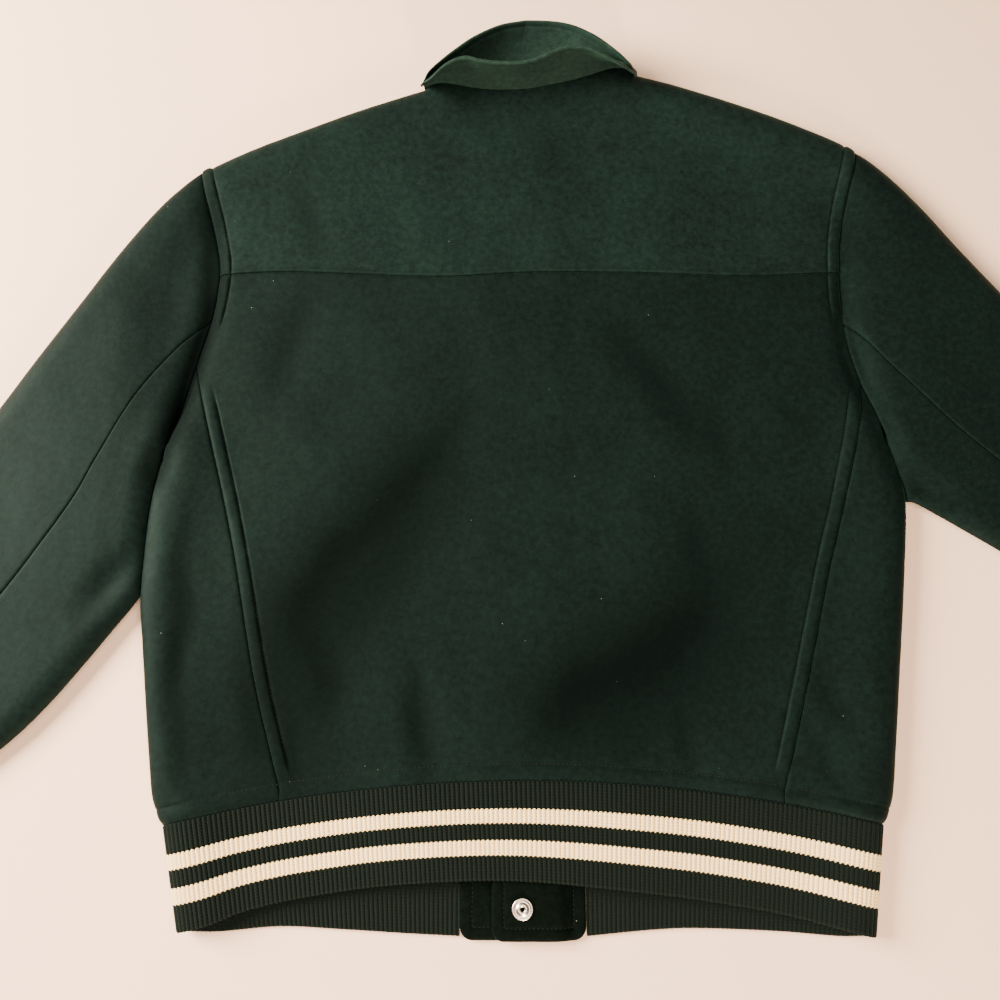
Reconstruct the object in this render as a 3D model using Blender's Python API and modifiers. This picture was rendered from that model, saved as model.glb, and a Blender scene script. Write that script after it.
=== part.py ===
# A varsity jacket in melton wool, lying face down and closed on a flat surface, back up.
# Tables are in millimetres: x to the wearer's right of the centre front, y up from the hem, z up
# from the surface. The frame's origin is under the centre front, ORIGIN_FROM_HEM above the hem.

import math

import bpy
import numpy as np

METRE = 0.001
ORIGIN_FROM_HEM = 350.0

WOOL = 2.2
COLLAR_WALL = 3.6
TAB_WALL = 4.4
SEAM_GAP = 0.3
TOUCH = 0.06
SMALLEST = 1e-6
# Heights of the back's face: at rest on the front, near the folds, over the hem's tabs, on the sleeves.
FOLD_HEIGHT = 8.0
FOLD_REACH = 18.0
FOLD_SWELL = 24.0
BODY_LOFT = 8.8
CENTRE_LOFT = 9.8
EDGE_LOFT = 16.0
TAB_LOFT = 13.8
SLEEVE_LOFT = 17.5
CUFF_LOFT = 14.0
LEAST_LOFT = 5.0
# Distances from the centre over which the body's height changes into the sleeve's, and that into the cuff's.
BODY_END, SLEEVE_START = 270.0, 330.0
CUFF_START = 560.0
# How fast a fold's pull on the direction inwards dies away, and how far inside a piece its side is told from.
FOLD_BLEND = 4.0
INSIDE_SHARE = 0.02
SIDE_LEAST = 1e-4

OVERLAP_LEFT = -22.0
OVERLAP_RIGHT = 22.9
OVERLAP_EASE = 1.5
OVERLAP_SLOPE = 14.0
OVERLAP_STEP = OVERLAP_RIGHT + OVERLAP_EASE - OVERLAP_LEFT
TAB_WIDTH = 67.8
TAB_TOP = 76.0
TAB_CORNER = 9.0
TAB_CORNER_POINTS = 5
TAB_COLUMNS = (0.31, 0.5, 0.69)
TAB_ROWS = 4

RIB_PITCH = 3.4
RIB_WALL = 2.2
RIB_RAISE = 1.0
RIBS_PER_PLAIN_STEP = 3
# The band's columns before it is cut into ribs: over a fold, and from there to its middle or its end.
BAND_FOLD_COLUMNS = 7
BAND_COLUMNS = 26
BAND_TOP_POINTS = 61
BAND_ROWS = (1.0, 0.5, 0.0)
# Ribs are flattened where they touch the surface, below this height.
RIB_CLEAR = 1.5
CUFF_LENGTH = 70.0
CUFF_WIDTH = 98.0
CUFF_EASE = 22.0
CUFF_FLARE = 5.0
CUFF_TUCK = 3.0

SNAP_RADIUS = 7.5
SNAP_HOLE = 1.6
SNAP_RISE = 1.6
SNAP_EDGE = 0.3
SNAP_SIDES = 12
SNAP_MERGE = 0.00001
SNAP_HEIGHTS = (22.0, 132.0, 238.0, 344.0, 450.0, 556.0, 660.0)

# Each material's colour, roughness and metal share.
MELTON = ((0.012, 0.030, 0.018), 0.95, 0.0)
RIB_KNIT = ((0.010, 0.022, 0.014), 0.9, 0.0)
NICKEL = ((0.60, 0.56, 0.50), 0.3, 1.0)

# The body's outer edge, from the hem band up to the shoulder tip: the side fold as far as the
# underarm, the armhole seam above it. The sleeve lies against the side from "parting" to "underarm".
BODY_EDGE = (
    # place          left x   left y  right x  right y
    ("band seam", -262.0, 78.5, 263.5, 79.5),
    ("bulge", -270.5, 97.0, 271.5, 98.0),
    ("low side", -275.5, 125.0, 277.0, 130.0),
    ("side", -282.0, 168.0, 285.5, 186.0),
    ("high side", -288.0, 210.0, 295.0, 250.0),
    ("parting", -292.5, 246.0, 303.5, 320.0),
    ("against sleeve", -291.5, 310.0, 298.5, 348.0),
    ("underarm", -285.5, 352.0, 292.5, 372.0),
    ("low armhole", -273.5, 400.0, 286.5, 394.0),
    ("panel seam", -266.2, 431.0, 280.3, 417.0),
    ("over the panel seam", -261.4, 451.0, 272.0, 450.0),
    ("mid armhole", -254.6, 480.0, 268.3, 488.0),
    ("yoke seam", -251.0, 514.5, 268.6, 517.5),
    ("yoke edge", -255.5, 545.0, 273.0, 557.0),
    ("tip", -272.5, 610.0, 290.5, 629.5),
)
LINE_STEPS = 10
# Steps between those places, in millimetres of edge, closer where the cloth turns over a fold.
EDGE_STEPS = {
    "band seam": (0, 18, 52, 95, 138),
    "parting": (0, 35, 70),
    "underarm": (0, 3, 9, 20, 40),
    "panel seam": (0, 3, 28, 57),
    "yoke seam": (0, 28, 54),
    "yoke end": (18, 8, 2.5, 0),
}
LONGEST_RUN = 0.78

SHOULDER_LEFT = (
    (-272.5, 610.0), (-231.5, 631.4), (-189.4, 650.0), (-146.7, 667.8), (-103.6, 684.0), (-82.0, 691.5),
)
SHOULDER_RIGHT = ((290.5, 629.5), (269.5, 643.1), (210.7, 669.8), (142.0, 695.0), (103.5, 706.5))
BACK_NECK = (
    (-82.0, 691.5), (-67.0, 693.6), (-22.1, 690.4), (11.1, 692.0), (51.5, 701.0), (86.9, 708.8),
    (103.5, 706.5),
)
FRONT_NECK_HEIGHT = 690.0
# Columns of the yoke that end at the neck: the share of its width at the neck points, and along the neck.
NECK_COLUMNS = (0.325, 0.68)
NECK_SHARES = (0.0, 0.015, 0.045, 0.1, 0.18, 0.27, 0.37, 0.48, 0.59, 0.7, 0.8, 0.89, 0.95, 0.985, 1.0)
# Columns of the back on either side of those that end at the neck.
COLUMNS_BEFORE_NECK = (0.0, 0.012, 0.04, 0.11, 0.2)
COLUMNS_AFTER_NECK = (0.79, 0.89, 0.96, 0.988, 1.0)
SIDE_BACK_COLUMNS = (0.0, 0.03, 0.1, 0.22, 0.55, 1.0)
# Columns of a front from its side fold: as far as the neck point, and on to its own edge.
FRONT_NECK_SHARE = 0.64
FRONT_COLUMNS = (
    0.0, 0.009, 0.03, 0.065, 0.2, 0.42, FRONT_NECK_SHARE, 0.652, 0.675, 0.71, 0.82, 0.86, 0.93, 1.0,
)
# The yoke seam's gentle waves: share of its width, and rise.
YOKE_RISE = ((0.0, 0.0), (0.12, 2.5), (0.35, -2.5), (0.5, 1.0), (0.66, 0.5), (0.85, -3.0), (1.0, 0.0))
BAND_ARCH = 31.0

# The slanted seams that part the back from the side backs, from band seam to armhole.
PANEL_SEAM_LEFT = ((-178.1, 103.2), (-201.5, 182.4), (-222.3, 277.9), (-242.4, 354.8), (-265.1, 433.4))
PANEL_SEAM_RIGHT = ((192.2, 101.2), (214.7, 178.5), (235.5, 256.0), (257.5, 330.0), (279.3, 419.5))

# Each sleeve's two folds, from the shoulder tip and the parting down to the cuff seam.
LEFT_SLEEVE = (
    # top x  top y  under x under y
    (-272.5, 610.0, -292.5, 246.0),
    (-284.0, 600.0, -301.0, 233.5),
    (-306.0, 576.0, -315.0, 215.0),
    (-335.0, 535.0, -333.0, 191.0),
    (-361.0, 493.0, -352.0, 167.0),
    (-391.0, 445.0, -373.0, 144.0),
    (-430.0, 380.0, -397.0, 123.0),
    (-480.0, 300.0, -424.0, 103.0),
    (-530.0, 219.0, -451.0, 86.0),
    (-575.0, 148.0, -475.0, 72.0),
)
RIGHT_SLEEVE = (
    (290.5, 629.5, 303.5, 320.0),
    (302.0, 620.8, 311.0, 319.0),
    (322.0, 600.5, 324.0, 311.5),
    (346.0, 571.0, 345.0, 298.5),
    (372.0, 535.0, 373.0, 281.0),
    (410.0, 486.0, 405.0, 260.0),
    (456.0, 432.0, 443.0, 233.0),
    (520.0, 360.0, 483.0, 204.0),
    (584.0, 289.0, 523.0, 173.0),
    (648.0, 217.0, 560.0, 141.0),
)
# Where each sleeve's back seam lies, as a share of its width from the top fold, at rows of the tables above.
BACK_SLEEVE_SEAM = (
    # row  left  right
    (0, 0.373, 0.503),
    (1, 0.375, 0.522),
    (2, 0.378, 0.565),
    (3, 0.400, 0.602),
    (4, 0.462, 0.630),
    (5, 0.520, 0.640),
    (9, 0.600, 0.660),
)
FRONT_SLEEVE_SEAM = 0.74

BAND_SIDE_LEFT = ((-246.0, 6.0), (-262.0, 78.5))
BAND_SIDE_RIGHT = ((251.0, 3.0), (263.5, 79.5))
BACK_HEM = (
    (-246.0, 6.0), (-222.0, 12.0), (-197.0, 21.0), (-154.0, 30.0), (-84.0, 39.0),
    (0.0, 41.0), (97.0, 32.0), (160.0, 23.0), (201.5, 15.0), (251.0, 3.0),
)
FRONT_HEM_LEFT = ((-246.0, 6.0), (-218.0, 5.5), (-174.0, 9.0), (-129.0, 7.0), (-84.0, 4.4), (-44.9, 2.5))
FRONT_HEM_RIGHT = ((46.2, 2.5), (98.0, 7.0), (131.0, 7.7), (184.0, 5.7), (227.0, 2.5), (251.0, 3.0))

# The collar's free edge, from its right end at the centre front round the neck to its left end, with
# the neck seam that each point stands over and its share of the way along that seam.
COLLAR_EDGE = (
    # seam   share     x      y     z
    ("right", 1.00, 6.2, 737.6, 40.0),
    ("right", 0.87, 20.8, 737.4, 40.0),
    ("right", 0.74, 34.7, 736.2, 40.0),
    ("right", 0.62, 46.6, 733.4, 39.9),
    ("right", 0.50, 57.6, 728.4, 39.8),
    ("right", 0.38, 69.7, 721.0, 39.5),
    ("right", 0.25, 82.0, 710.0, 39.2),
    ("right", 0.12, 91.2, 699.9, 38.8),
    ("right", 0.04, 97.1, 693.1, 38.2),
    ("back", 1.00, 99.0, 688.4, 38.0),
    ("back", 0.985, 99.2, 685.4, 38.9),
    ("back", 0.95, 96.9, 683.5, 40.9),
    ("back", 0.89, 88.8, 684.9, 45.0),
    ("back", 0.80, 71.6, 690.2, 51.3),
    ("back", 0.70, 54.8, 695.2, 56.3),
    ("back", 0.59, 37.4, 694.0, 57.1),
    ("back", 0.48, 9.8, 684.0, 53.7),
    ("back", 0.37, -11.9, 682.6, 53.1),
    ("back", 0.27, -31.3, 684.0, 53.7),
    ("back", 0.18, -45.7, 687.0, 54.2),
    ("back", 0.10, -60.8, 683.5, 49.3),
    ("back", 0.045, -72.5, 676.1, 42.1),
    ("back", 0.015, -78.9, 674.8, 38.9),
    ("back", 0.00, -80.3, 677.8, 38.0),
    ("left", 0.04, -79.8, 681.1, 38.2),
    ("left", 0.12, -76.4, 687.8, 38.8),
    ("left", 0.28, -67.4, 697.9, 39.2),
    ("left", 0.44, -53.5, 711.1, 39.3),
    ("left", 0.60, -37.4, 723.0, 39.6),
    ("left", 0.80, -16.0, 733.2, 40.0),
    ("left", 1.00, 5.4, 737.6, 40.0),
)
COLLAR_ROWS = (0.0, 0.12, 0.28, 0.46, 0.7, 1.0)
# How a collar section leaves its seam, as the middle point of its curve: outwards in plan, and the
# share of its rise there, for a section at the back, at the shoulder and at the front.
COLLAR_LEAVES = (
    # place (0 back, 1 shoulder, 2 front), outwards, share of the rise
    (0.0, 0.0, 0.50),
    (1.0, 2.0, 0.45),
    (2.0, 23.0, 0.30),
)
COLLAR_FRONT_REACH = 0.80
COLLAR_SIDEWAYS = 0.3
COLLAR_END_WALL = 2.2
COLLAR_END_REACH = 26.0
# How far a section starts outside its seam and, at the back, below the yoke's face.
COLLAR_OUT = 0.45
COLLAR_SUNK = 1.0
# How far the collar stays above the yoke where it leans back over it.
COLLAR_CLEAR = 1.8
# How far its wall leans out at the seam.
COLLAR_LEAN = 0.5
# The part of a section's length over which its wall turns from the seam's direction to its own.
COLLAR_TURN = (0.1, 0.55)
FRONT_OF_FOLD = 1.01

# Where the cloth sinks: each runs through points with its depth at each.
HOLLOWS = (
    # name, width, ((x, y, depth), ...)
    (
        "left armhole", 11.0,
        ((-287.0, 345.0, 3.5), (-273.5, 400.0, 7.0), (-261.5, 450.0, 7.0), (-254.0, 500.0, 5.5),
         (-258.0, 560.0, 2.5), (-272.0, 612.0, 0.0)),
    ),
    (
        "right armhole", 11.0,
        ((294.0, 368.0, 3.5), (279.5, 420.0, 7.0), (271.0, 460.0, 6.5), (269.0, 510.0, 4.0),
         (276.0, 570.0, 1.5), (290.0, 630.0, 0.0)),
    ),
    (
        "back valley", 42.0,
        ((-40.5, 415.1, 0.0), (-94.6, 321.2, 3.0), (-132.4, 257.9, 4.0), (-168.1, 204.9, 3.5),
         (-171.1, 98.7, 1.5)),
    ),
    ("low hollow", 48.0, ((36.1, 165.1, 2.0), (82.0, 190.6, 4.0), (133.0, 226.3, 2.5), (173.9, 333.5, 0.0))),
    (
        "left side fold", 9.0,
        ((-267.1, 287.5, 0.0), (-259.9, 211.0, 2.0), (-249.7, 129.3, 2.5), (-244.6, 94.6, 0.0)),
    ),
    ("hem fold", 12.0, ((-87.4, 216.1, 0.0), (-73.2, 149.8, 1.4), (-67.0, 111.0, 0.6))),
    ("left sleeve fold", 12.0, ((-296.0, 275.0, 2.0), (-312.0, 258.0, 5.0), (-338.0, 225.0, 0.0))),
    ("right sleeve fold", 12.0, ((303.0, 345.0, 3.0), (318.0, 330.0, 5.0), (348.0, 312.0, 0.0))),
)


def scene_cleared():
    for thing in list(bpy.data.objects):
        bpy.data.objects.remove(thing, do_unlink=True)
    parts = bpy.data.collections.new("varsity_jacket")
    bpy.context.scene.collection.children.link(parts)
    return parts


def material(name, colour, roughness, metallic=0.0):
    made = bpy.data.materials.new(name)
    made.use_nodes = True
    shader = made.node_tree.nodes["Principled BSDF"]
    shader.inputs["Base Color"].default_value = (*colour, 1.0)
    shader.inputs["Roughness"].default_value = roughness
    shader.inputs["Metallic"].default_value = metallic
    return made


# ---- Lines in plan ----


def lengths(line):
    """Distance along a polyline at each of its points."""
    return np.concatenate([[0.0], np.cumsum(np.linalg.norm(np.diff(line, axis=0), axis=1))])


def smooth(points, steps=LINE_STEPS):
    """A Catmull-Rom curve through the points, as a polyline."""
    p = np.asarray(points, float)
    p = np.vstack([2 * p[0] - p[1], p, 2 * p[-1] - p[-2]])
    t = np.linspace(0.0, 1.0, steps, endpoint=False)[:, None]
    spans = []
    for a, b, c, d in zip(p[:-3], p[1:-2], p[2:-1], p[3:]):
        square, cube = 2 * a - 5 * b + 4 * c - d, 3 * b - a - 3 * c + d
        spans.append((2 * b + (c - a) * t + square * t**2 + cube * t**3) / 2)
    return np.vstack(spans + [p[-2:-1]])


def along(line, distances):
    """The polyline's points at the given distances along it."""
    gone = lengths(line)
    return np.column_stack([np.interp(distances, gone, line[:, k]) for k in range(line.shape[1])])


def spread(line, fractions):
    return along(line, np.asarray(fractions) * lengths(line)[-1])


def beside(line, distance):
    """The polyline moved to its right by a distance, in plan."""
    run = np.gradient(line, axis=0)
    run /= np.linalg.norm(run, axis=1)[:, None]
    return line + distance * np.column_stack([run[:, 1], -run[:, 0]])


def coons(bottom, top, left, right):
    """A grid of plan points between four edges: rows run from bottom to top, columns from left to right."""
    u = (lengths(bottom) / lengths(bottom)[-1] + lengths(top) / lengths(top)[-1]) / 2
    v = (lengths(left) / lengths(left)[-1] + lengths(right) / lengths(right)[-1]) / 2
    u, v = u[None, :, None], v[:, None, None]
    across = (1 - u) * left[:, None] + u * right[:, None]
    upward = (1 - v) * bottom[None] + v * top[None]
    corners = (1 - v) * ((1 - u) * bottom[0] + u * bottom[-1]) + v * ((1 - u) * top[0] + u * top[-1])
    return across + upward - corners


def edge_stations():
    """Each side's body edge as sampled points, and the sample numbers of its named places."""
    edges, numbers = [], {}
    for side in (0, 1):
        rows = [(row[1 + 2 * side], row[2 + 2 * side]) for row in BODY_EDGE]
        line = smooth(rows)
        place = {row[0]: lengths(line)[LINE_STEPS * k] for k, row in enumerate(BODY_EDGE)}
        distances = []
        for name in ("band seam", "parting", "underarm", "panel seam", "yoke seam"):
            numbers[name] = len(distances)
            distances += [place[name] + step for step in EDGE_STEPS[name]]
        distances += [place["tip"] - step for step in EDGE_STEPS["yoke end"]]
        # The two sides differ in length, so each run of steps is stretched to fit its own side.
        distances = np.array(distances)
        order = [numbers[name] for name in ("parting", "underarm", "panel seam", "yoke seam")]
        for first, last in zip([0] + order, order):
            span = slice(first + 1, last)
            limit = distances[last] - distances[first]
            longest = distances[last - 1] - distances[first]
            shrink = min(1.0, LONGEST_RUN * limit / longest)
            distances[span] = distances[first] + (distances[span] - distances[first]) * shrink
        edges.append(along(line, distances))
    return edges, numbers


# ---- The jacket's height over its plan ----


def fold_lines():
    """The lines where the cloth turns under: (points, whether cloth lies on both sides)."""
    left = smooth([(row[1], row[2]) for row in BODY_EDGE])
    right = smooth([(row[3], row[4]) for row in BODY_EDGE])
    names = [row[0] for row in BODY_EDGE]
    parting, underarm = [LINE_STEPS * names.index(name) for name in ("parting", "underarm")]
    found = []
    for edge, sleeve, shoulder, band, turn in (
        (left, LEFT_SLEEVE, SHOULDER_LEFT, BAND_SIDE_LEFT, 1),
        (right, RIGHT_SLEEVE, SHOULDER_RIGHT, BAND_SIDE_RIGHT, -1),
    ):
        sleeve = np.array(sleeve)
        found.append((smooth(band)[::turn], False))
        found.append((edge[: parting + 1][::turn], False))
        found.append((edge[parting : underarm + 1][::turn], True))
        found.append((smooth(sleeve[:, 2:])[::turn], False))
        found.append((smooth(sleeve[:, :2])[::-turn], False))
        found.append((smooth(shoulder)[::turn], False))
    return found


class Outline:
    """The folds as segments, with the distance to the nearest and the direction away from it."""

    def __init__(self, lines):
        starts, ends, both = [], [], []
        for line, two_sided in lines:
            starts.append(line[:-1])
            ends.append(line[1:])
            both += [two_sided] * (len(line) - 1)
        self.start = np.vstack(starts)
        self.run = np.vstack(ends) - self.start
        self.both = np.array(both)
        size = np.linalg.norm(self.run, axis=1)
        self.inward = np.column_stack([self.run[:, 1], -self.run[:, 0]]) / size[:, None]

    def nearest(self, points):
        away = points[:, None] - self.start[None]
        part = np.clip((away * self.run).sum(2) / (self.run**2).sum(1), 0.0, 1.0)
        gap = away - part[..., None] * self.run
        return gap, np.linalg.norm(gap, axis=2)

    def distance(self, points):
        return self.nearest(points)[1].min(1)

    def away(self, points, inner):
        """Blended inward direction at points, seen from inner, which lies just inside the piece."""
        distance = self.nearest(points)[1]
        side = (self.nearest(inner)[0] * self.inward).sum(2)
        turn = np.where(self.both, np.sign(side), 1.0)
        weight = np.exp(-(distance - distance.min(1)[:, None]) / FOLD_BLEND) * ((side * turn) > SIDE_LEAST)
        blend = (weight * turn)[..., None] * self.inward[None]
        blend = blend.sum(1)
        return blend / np.maximum(np.linalg.norm(blend, axis=1), SMALLEST)[:, None]


def eased(value):
    value = np.clip(value, 0.0, 1.0)
    return value * value * (3 - 2 * value)


def hollow_depth(x, y, width, points):
    deepest = np.zeros_like(x)
    points = np.asarray(points)
    for (ax, ay, a), (bx, by, b) in zip(points[:-1], points[1:]):
        run = np.array([bx - ax, by - ay])
        t = np.clip(((x - ax) * run[0] + (y - ay) * run[1]) / (run @ run), 0.0, 1.0)
        gap = np.hypot(x - ax - t * run[0], y - ay - t * run[1])
        deepest = np.maximum(deepest, (a + (b - a) * t) * np.exp(-((gap / width) ** 2)))
    return deepest


def loft(x, y, distance):
    """Height of the back's face above the surface, away from the folds."""
    over_tabs = (1 - eased((np.abs(x) - TAB_WIDTH) / TAB_WIDTH)) * (1 - eased((y - TAB_TOP) / TAB_TOP))
    over_snaps = 1 - eased((np.abs(x) - OVERLAP_RIGHT) / OVERLAP_RIGHT)
    height = BODY_LOFT + (CENTRE_LOFT - BODY_LOFT) * over_snaps
    height = height + (TAB_LOFT - height) * over_tabs
    swell = np.exp(-((np.maximum(distance - FOLD_REACH, 0.0) / FOLD_SWELL) ** 2))
    height = height + (EDGE_LOFT - height) * swell
    on_sleeve = eased((np.abs(x) - BODY_END) / (SLEEVE_START - BODY_END))
    towards_cuff = eased((np.abs(x) - SLEEVE_START) / (CUFF_START - SLEEVE_START))
    sleeve = SLEEVE_LOFT - (SLEEVE_LOFT - CUFF_LOFT) * towards_cuff
    height = height + (sleeve - height) * on_sleeve
    for _, width, points in HOLLOWS:
        height = height - hollow_depth(x, y, width, points)
    return np.maximum(height, LEAST_LOFT)


def skin(outline, plan, face, wall, gap=0.0, lift=0.0):
    """Outer and inner points over a grid of plan points, for the back's face (1) or the front's (-1)."""
    flat = plan.reshape(-1, 2)
    distance = outline.distance(flat)
    turned = np.clip(1 - distance / FOLD_REACH, 0.0, 1.0)
    turned[distance < SEAM_GAP - TOUCH] = 1.0
    upright = np.sqrt(1 - turned**2)
    inward = outline.away(flat, flat + INSIDE_SHARE * (flat.mean(0) - flat))
    mid = FOLD_HEIGHT + face * gap / 2
    if face > 0:
        height = mid + (loft(flat[:, 0], flat[:, 1], distance) - mid) * upright
    else:
        height = mid * (1 - upright) + lift_at(flat[:, 0], lift) * upright
    outer = np.column_stack([flat, height])
    inner = outer + wall * np.column_stack([turned[:, None] * inward, -face * upright])
    return outer.reshape(*plan.shape[:2], 3), inner.reshape(*plan.shape[:2], 3)


def lift_at(x, lift):
    """Height that the right front takes on where it lies over the left one."""
    return lift * eased((OVERLAP_RIGHT + OVERLAP_EASE + OVERLAP_SLOPE - x) / OVERLAP_SLOPE)


# ---- Solids ----


def add_mesh(parts, name, points, faces, finish):
    mesh = bpy.data.meshes.new(name)
    placed = (np.asarray(points) - (0.0, ORIGIN_FROM_HEM, 0.0)) * METRE
    mesh.from_pydata(placed.tolist(), [], [list(map(int, face)) for face in faces])
    mesh.materials.append(finish)
    made = bpy.data.objects.new(name, mesh)
    parts.objects.link(made)
    mesh.shade_smooth()
    mesh.set_sharp_from_angle(angle=math.radians(40))
    return made


def grid_faces(rows, columns, first=0):
    """Quads of a grid of points, wound so that their faces look up when rows run up and columns right."""
    corner = np.arange(rows * columns).reshape(rows, columns) + first
    return np.stack([corner[:-1, :-1], corner[:-1, 1:], corner[1:, 1:], corner[1:, :-1]], -1).reshape(-1, 4)


def walled(parts, name, sheets, finish):
    """One closed wall from sheets of (outer, inner, flipped), welded where their outer points meet."""
    outer, inner, faces = [], [], []
    for out_grid, in_grid, flipped in sheets:
        quads = grid_faces(*out_grid.shape[:2], first=sum(map(len, outer)))
        faces.append(quads[:, ::-1] if flipped else quads)
        outer.append(out_grid.reshape(-1, 3))
        inner.append(in_grid.reshape(-1, 3))
    outer, inner, faces = np.vstack(outer), np.vstack(inner), np.vstack(faces)
    _, kept, number = np.unique(np.round(outer, 3), axis=0, return_index=True, return_inverse=True)
    faces = number.reshape(-1)[faces]
    outer, inner = outer[kept], inner[kept]
    edges = np.stack([faces, np.roll(faces, -1, axis=1)], -1).reshape(-1, 2)
    paired = {tuple(edge) for edge in edges.tolist()}
    rims = [(a, b) for a, b in paired if (b, a) not in paired and a != b]
    count = len(outer)
    solid = faces.tolist() + (faces[:, ::-1] + count).tolist()
    solid += [(b, a, a + count, b + count) for a, b in rims]
    solid = [tuple(dict.fromkeys(face)) for face in solid]
    solid = [face for face in solid if len(face) > 2]
    return add_mesh(parts, name, np.vstack([outer, inner]), solid, finish)


def back_pieces(parts, outline, edges, place, wool):
    """The yoke, the back panel and the two side backs."""
    left, right = edges
    merge, yoke = place["panel seam"], place["yoke seam"]
    half = SEAM_GAP / 2
    left_in, right_in = beside(left, half), beside(right, -half)

    def seam_row(line, edge):
        rise = (edge[: merge + 1, 1] - edge[0, 1]) / (edge[merge, 1] - edge[0, 1])
        return spread(line, rise)

    seams = [seam_row(smooth(PANEL_SEAM_LEFT), left), seam_row(smooth(PANEL_SEAM_RIGHT), right)]

    def band_seam(start, end, fractions):
        x = start[0] + (end[0] - start[0]) * np.asarray(fractions)
        u = (x - left[0, 0]) / (right[0, 0] - left[0, 0])
        level = left[0, 1] + (right[0, 1] - left[0, 1]) * u
        return np.column_stack([x, level + BAND_ARCH * 4 * u * (1 - u) + half])

    neck_left, neck_right = NECK_COLUMNS
    neck_part = neck_left + (neck_right - neck_left) * np.array(NECK_SHARES)
    fractions = np.array([*COLUMNS_BEFORE_NECK, *neck_part, *COLUMNS_AFTER_NECK])
    yoke_x = left[yoke, 0] + (right[yoke, 0] - left[yoke, 0]) * fractions
    rise = np.interp(fractions, *np.array(YOKE_RISE).T)
    yoke_y = left[yoke, 1] + (right[yoke, 1] - left[yoke, 1]) * fractions + rise
    yoke_seam = np.column_stack([yoke_x, yoke_y])

    for side, edge, seam, turn in (("left", left_in, seams[0], 1), ("right", right_in, seams[1], -1)):
        inside = beside(seam, -turn * half)
        across = np.array(SIDE_BACK_COLUMNS)
        bottom = band_seam(edge[0], inside[0], across)
        outer_edge = edge[: merge + 1].copy()
        outer_edge[0], inside[0] = bottom[0], bottom[-1]
        top = outer_edge[-1] + (inside[-1] - outer_edge[-1]) * across[:, None]
        plan = coons(bottom, top, outer_edge, inside)
        walled(parts, f"side_back_{side}", [(*skin(outline, plan, 1, WOOL, SEAM_GAP), turn < 0)], wool)

    left_side = np.vstack([beside(seams[0], half), left_in[merge + 1 : yoke + 1]])
    right_side = np.vstack([beside(seams[1], -half), right_in[merge + 1 : yoke + 1]])
    bottom = band_seam(left_side[0], right_side[0], fractions)
    left_side[0], right_side[0] = bottom[0], bottom[-1]
    top = yoke_seam - (0, half)
    top[0], top[-1] = top[0] + (half, 0), top[-1] - (half, 0)
    left_side[-1], right_side[-1] = top[0], top[-1]
    plan = coons(bottom, top, left_side, right_side)
    walled(parts, "back_panel", [(*skin(outline, plan, 1, WOOL, SEAM_GAP), False)], wool)

    low = yoke_seam + (0, half)
    low[0], low[-1] = low[0] + (half, 0), low[-1] - (half, 0)
    neck = smooth(BACK_NECK)
    shoulder = [smooth(SHOULDER_LEFT), smooth(SHOULDER_RIGHT)]
    here, there = len(COLUMNS_BEFORE_NECK), len(COLUMNS_BEFORE_NECK) + len(NECK_SHARES) - 1
    top = np.vstack([
        spread(shoulder[0], fractions[: here + 1] / neck_left)[:-1],
        spread(neck, NECK_SHARES)[:-1],
        spread(shoulder[1], (1 - fractions[there:]) / (1 - neck_right)),
    ])
    left_side, right_side = left_in[yoke:].copy(), right_in[yoke:].copy()
    top[0], top[-1] = left_side[-1], right_side[-1]
    left_side[0], right_side[0] = low[0], low[-1]
    plan = coons(low, top, left_side, right_side)
    walled(parts, "back_yoke", [(*skin(outline, plan, 1, WOOL, SEAM_GAP), False)], wool)


def front_neck(side):
    """The front's neckline, from the neck point across the centre to its top corner at the front edge."""
    point, edge = (SHOULDER_LEFT[-1], OVERLAP_RIGHT) if side == "left" else (SHOULDER_RIGHT[-1], OVERLAP_LEFT)
    return np.array([point, (0.0, FRONT_NECK_HEIGHT), (edge, FRONT_NECK_HEIGHT)])


def front_pieces(parts, outline, edges, wool):
    """The fronts, left over right, each from its side seam to its own edge past the centre."""
    half = SEAM_GAP / 2
    across = np.array(FRONT_COLUMNS)
    there = FRONT_COLUMNS.index(FRONT_NECK_SHARE)
    for name, edge, shoulder, front_edge, turn, lift in (
        ("front_left", edges[0], SHOULDER_LEFT, OVERLAP_RIGHT, 1, 0.0),
        ("front_right", edges[1], SHOULDER_RIGHT, OVERLAP_LEFT, -1, WOOL + SEAM_GAP),
    ):
        side = beside(edge, turn * half)
        bottom = side[0] + (np.array([front_edge, TAB_TOP + SEAM_GAP]) - side[0]) * across[:, None]
        neck = front_neck(name.removeprefix("front_"))
        top = np.vstack([
            spread(smooth(shoulder), across[: there + 1] / FRONT_NECK_SHARE)[:-1],
            spread(neck, (across[there:] - FRONT_NECK_SHARE) / (1 - FRONT_NECK_SHARE)),
        ])
        top[0] = side[-1]
        rise = lengths(side) / lengths(side)[-1]
        centre = bottom[-1] + (top[-1] - bottom[-1]) * rise[:, None]
        plan = coons(bottom, top, side, centre)
        # The last columns run straight down, so that the step over the other front is clean.
        from_edge = np.array([OVERLAP_STEP + OVERLAP_SLOPE, OVERLAP_STEP, OVERLAP_STEP / 2, 0.0])
        last = len(from_edge)
        plan[:, -last:, 0] = front_edge - turn * from_edge
        ordered = neck[np.argsort(neck[:, 0])]
        plan[-1, -last:, 1] = np.interp(plan[-1, -last:, 0], ordered[:, 0], ordered[:, 1])
        walled(parts, name, [(*skin(outline, plan, -1, WOOL, SEAM_GAP, lift), turn > 0)], wool)


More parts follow.
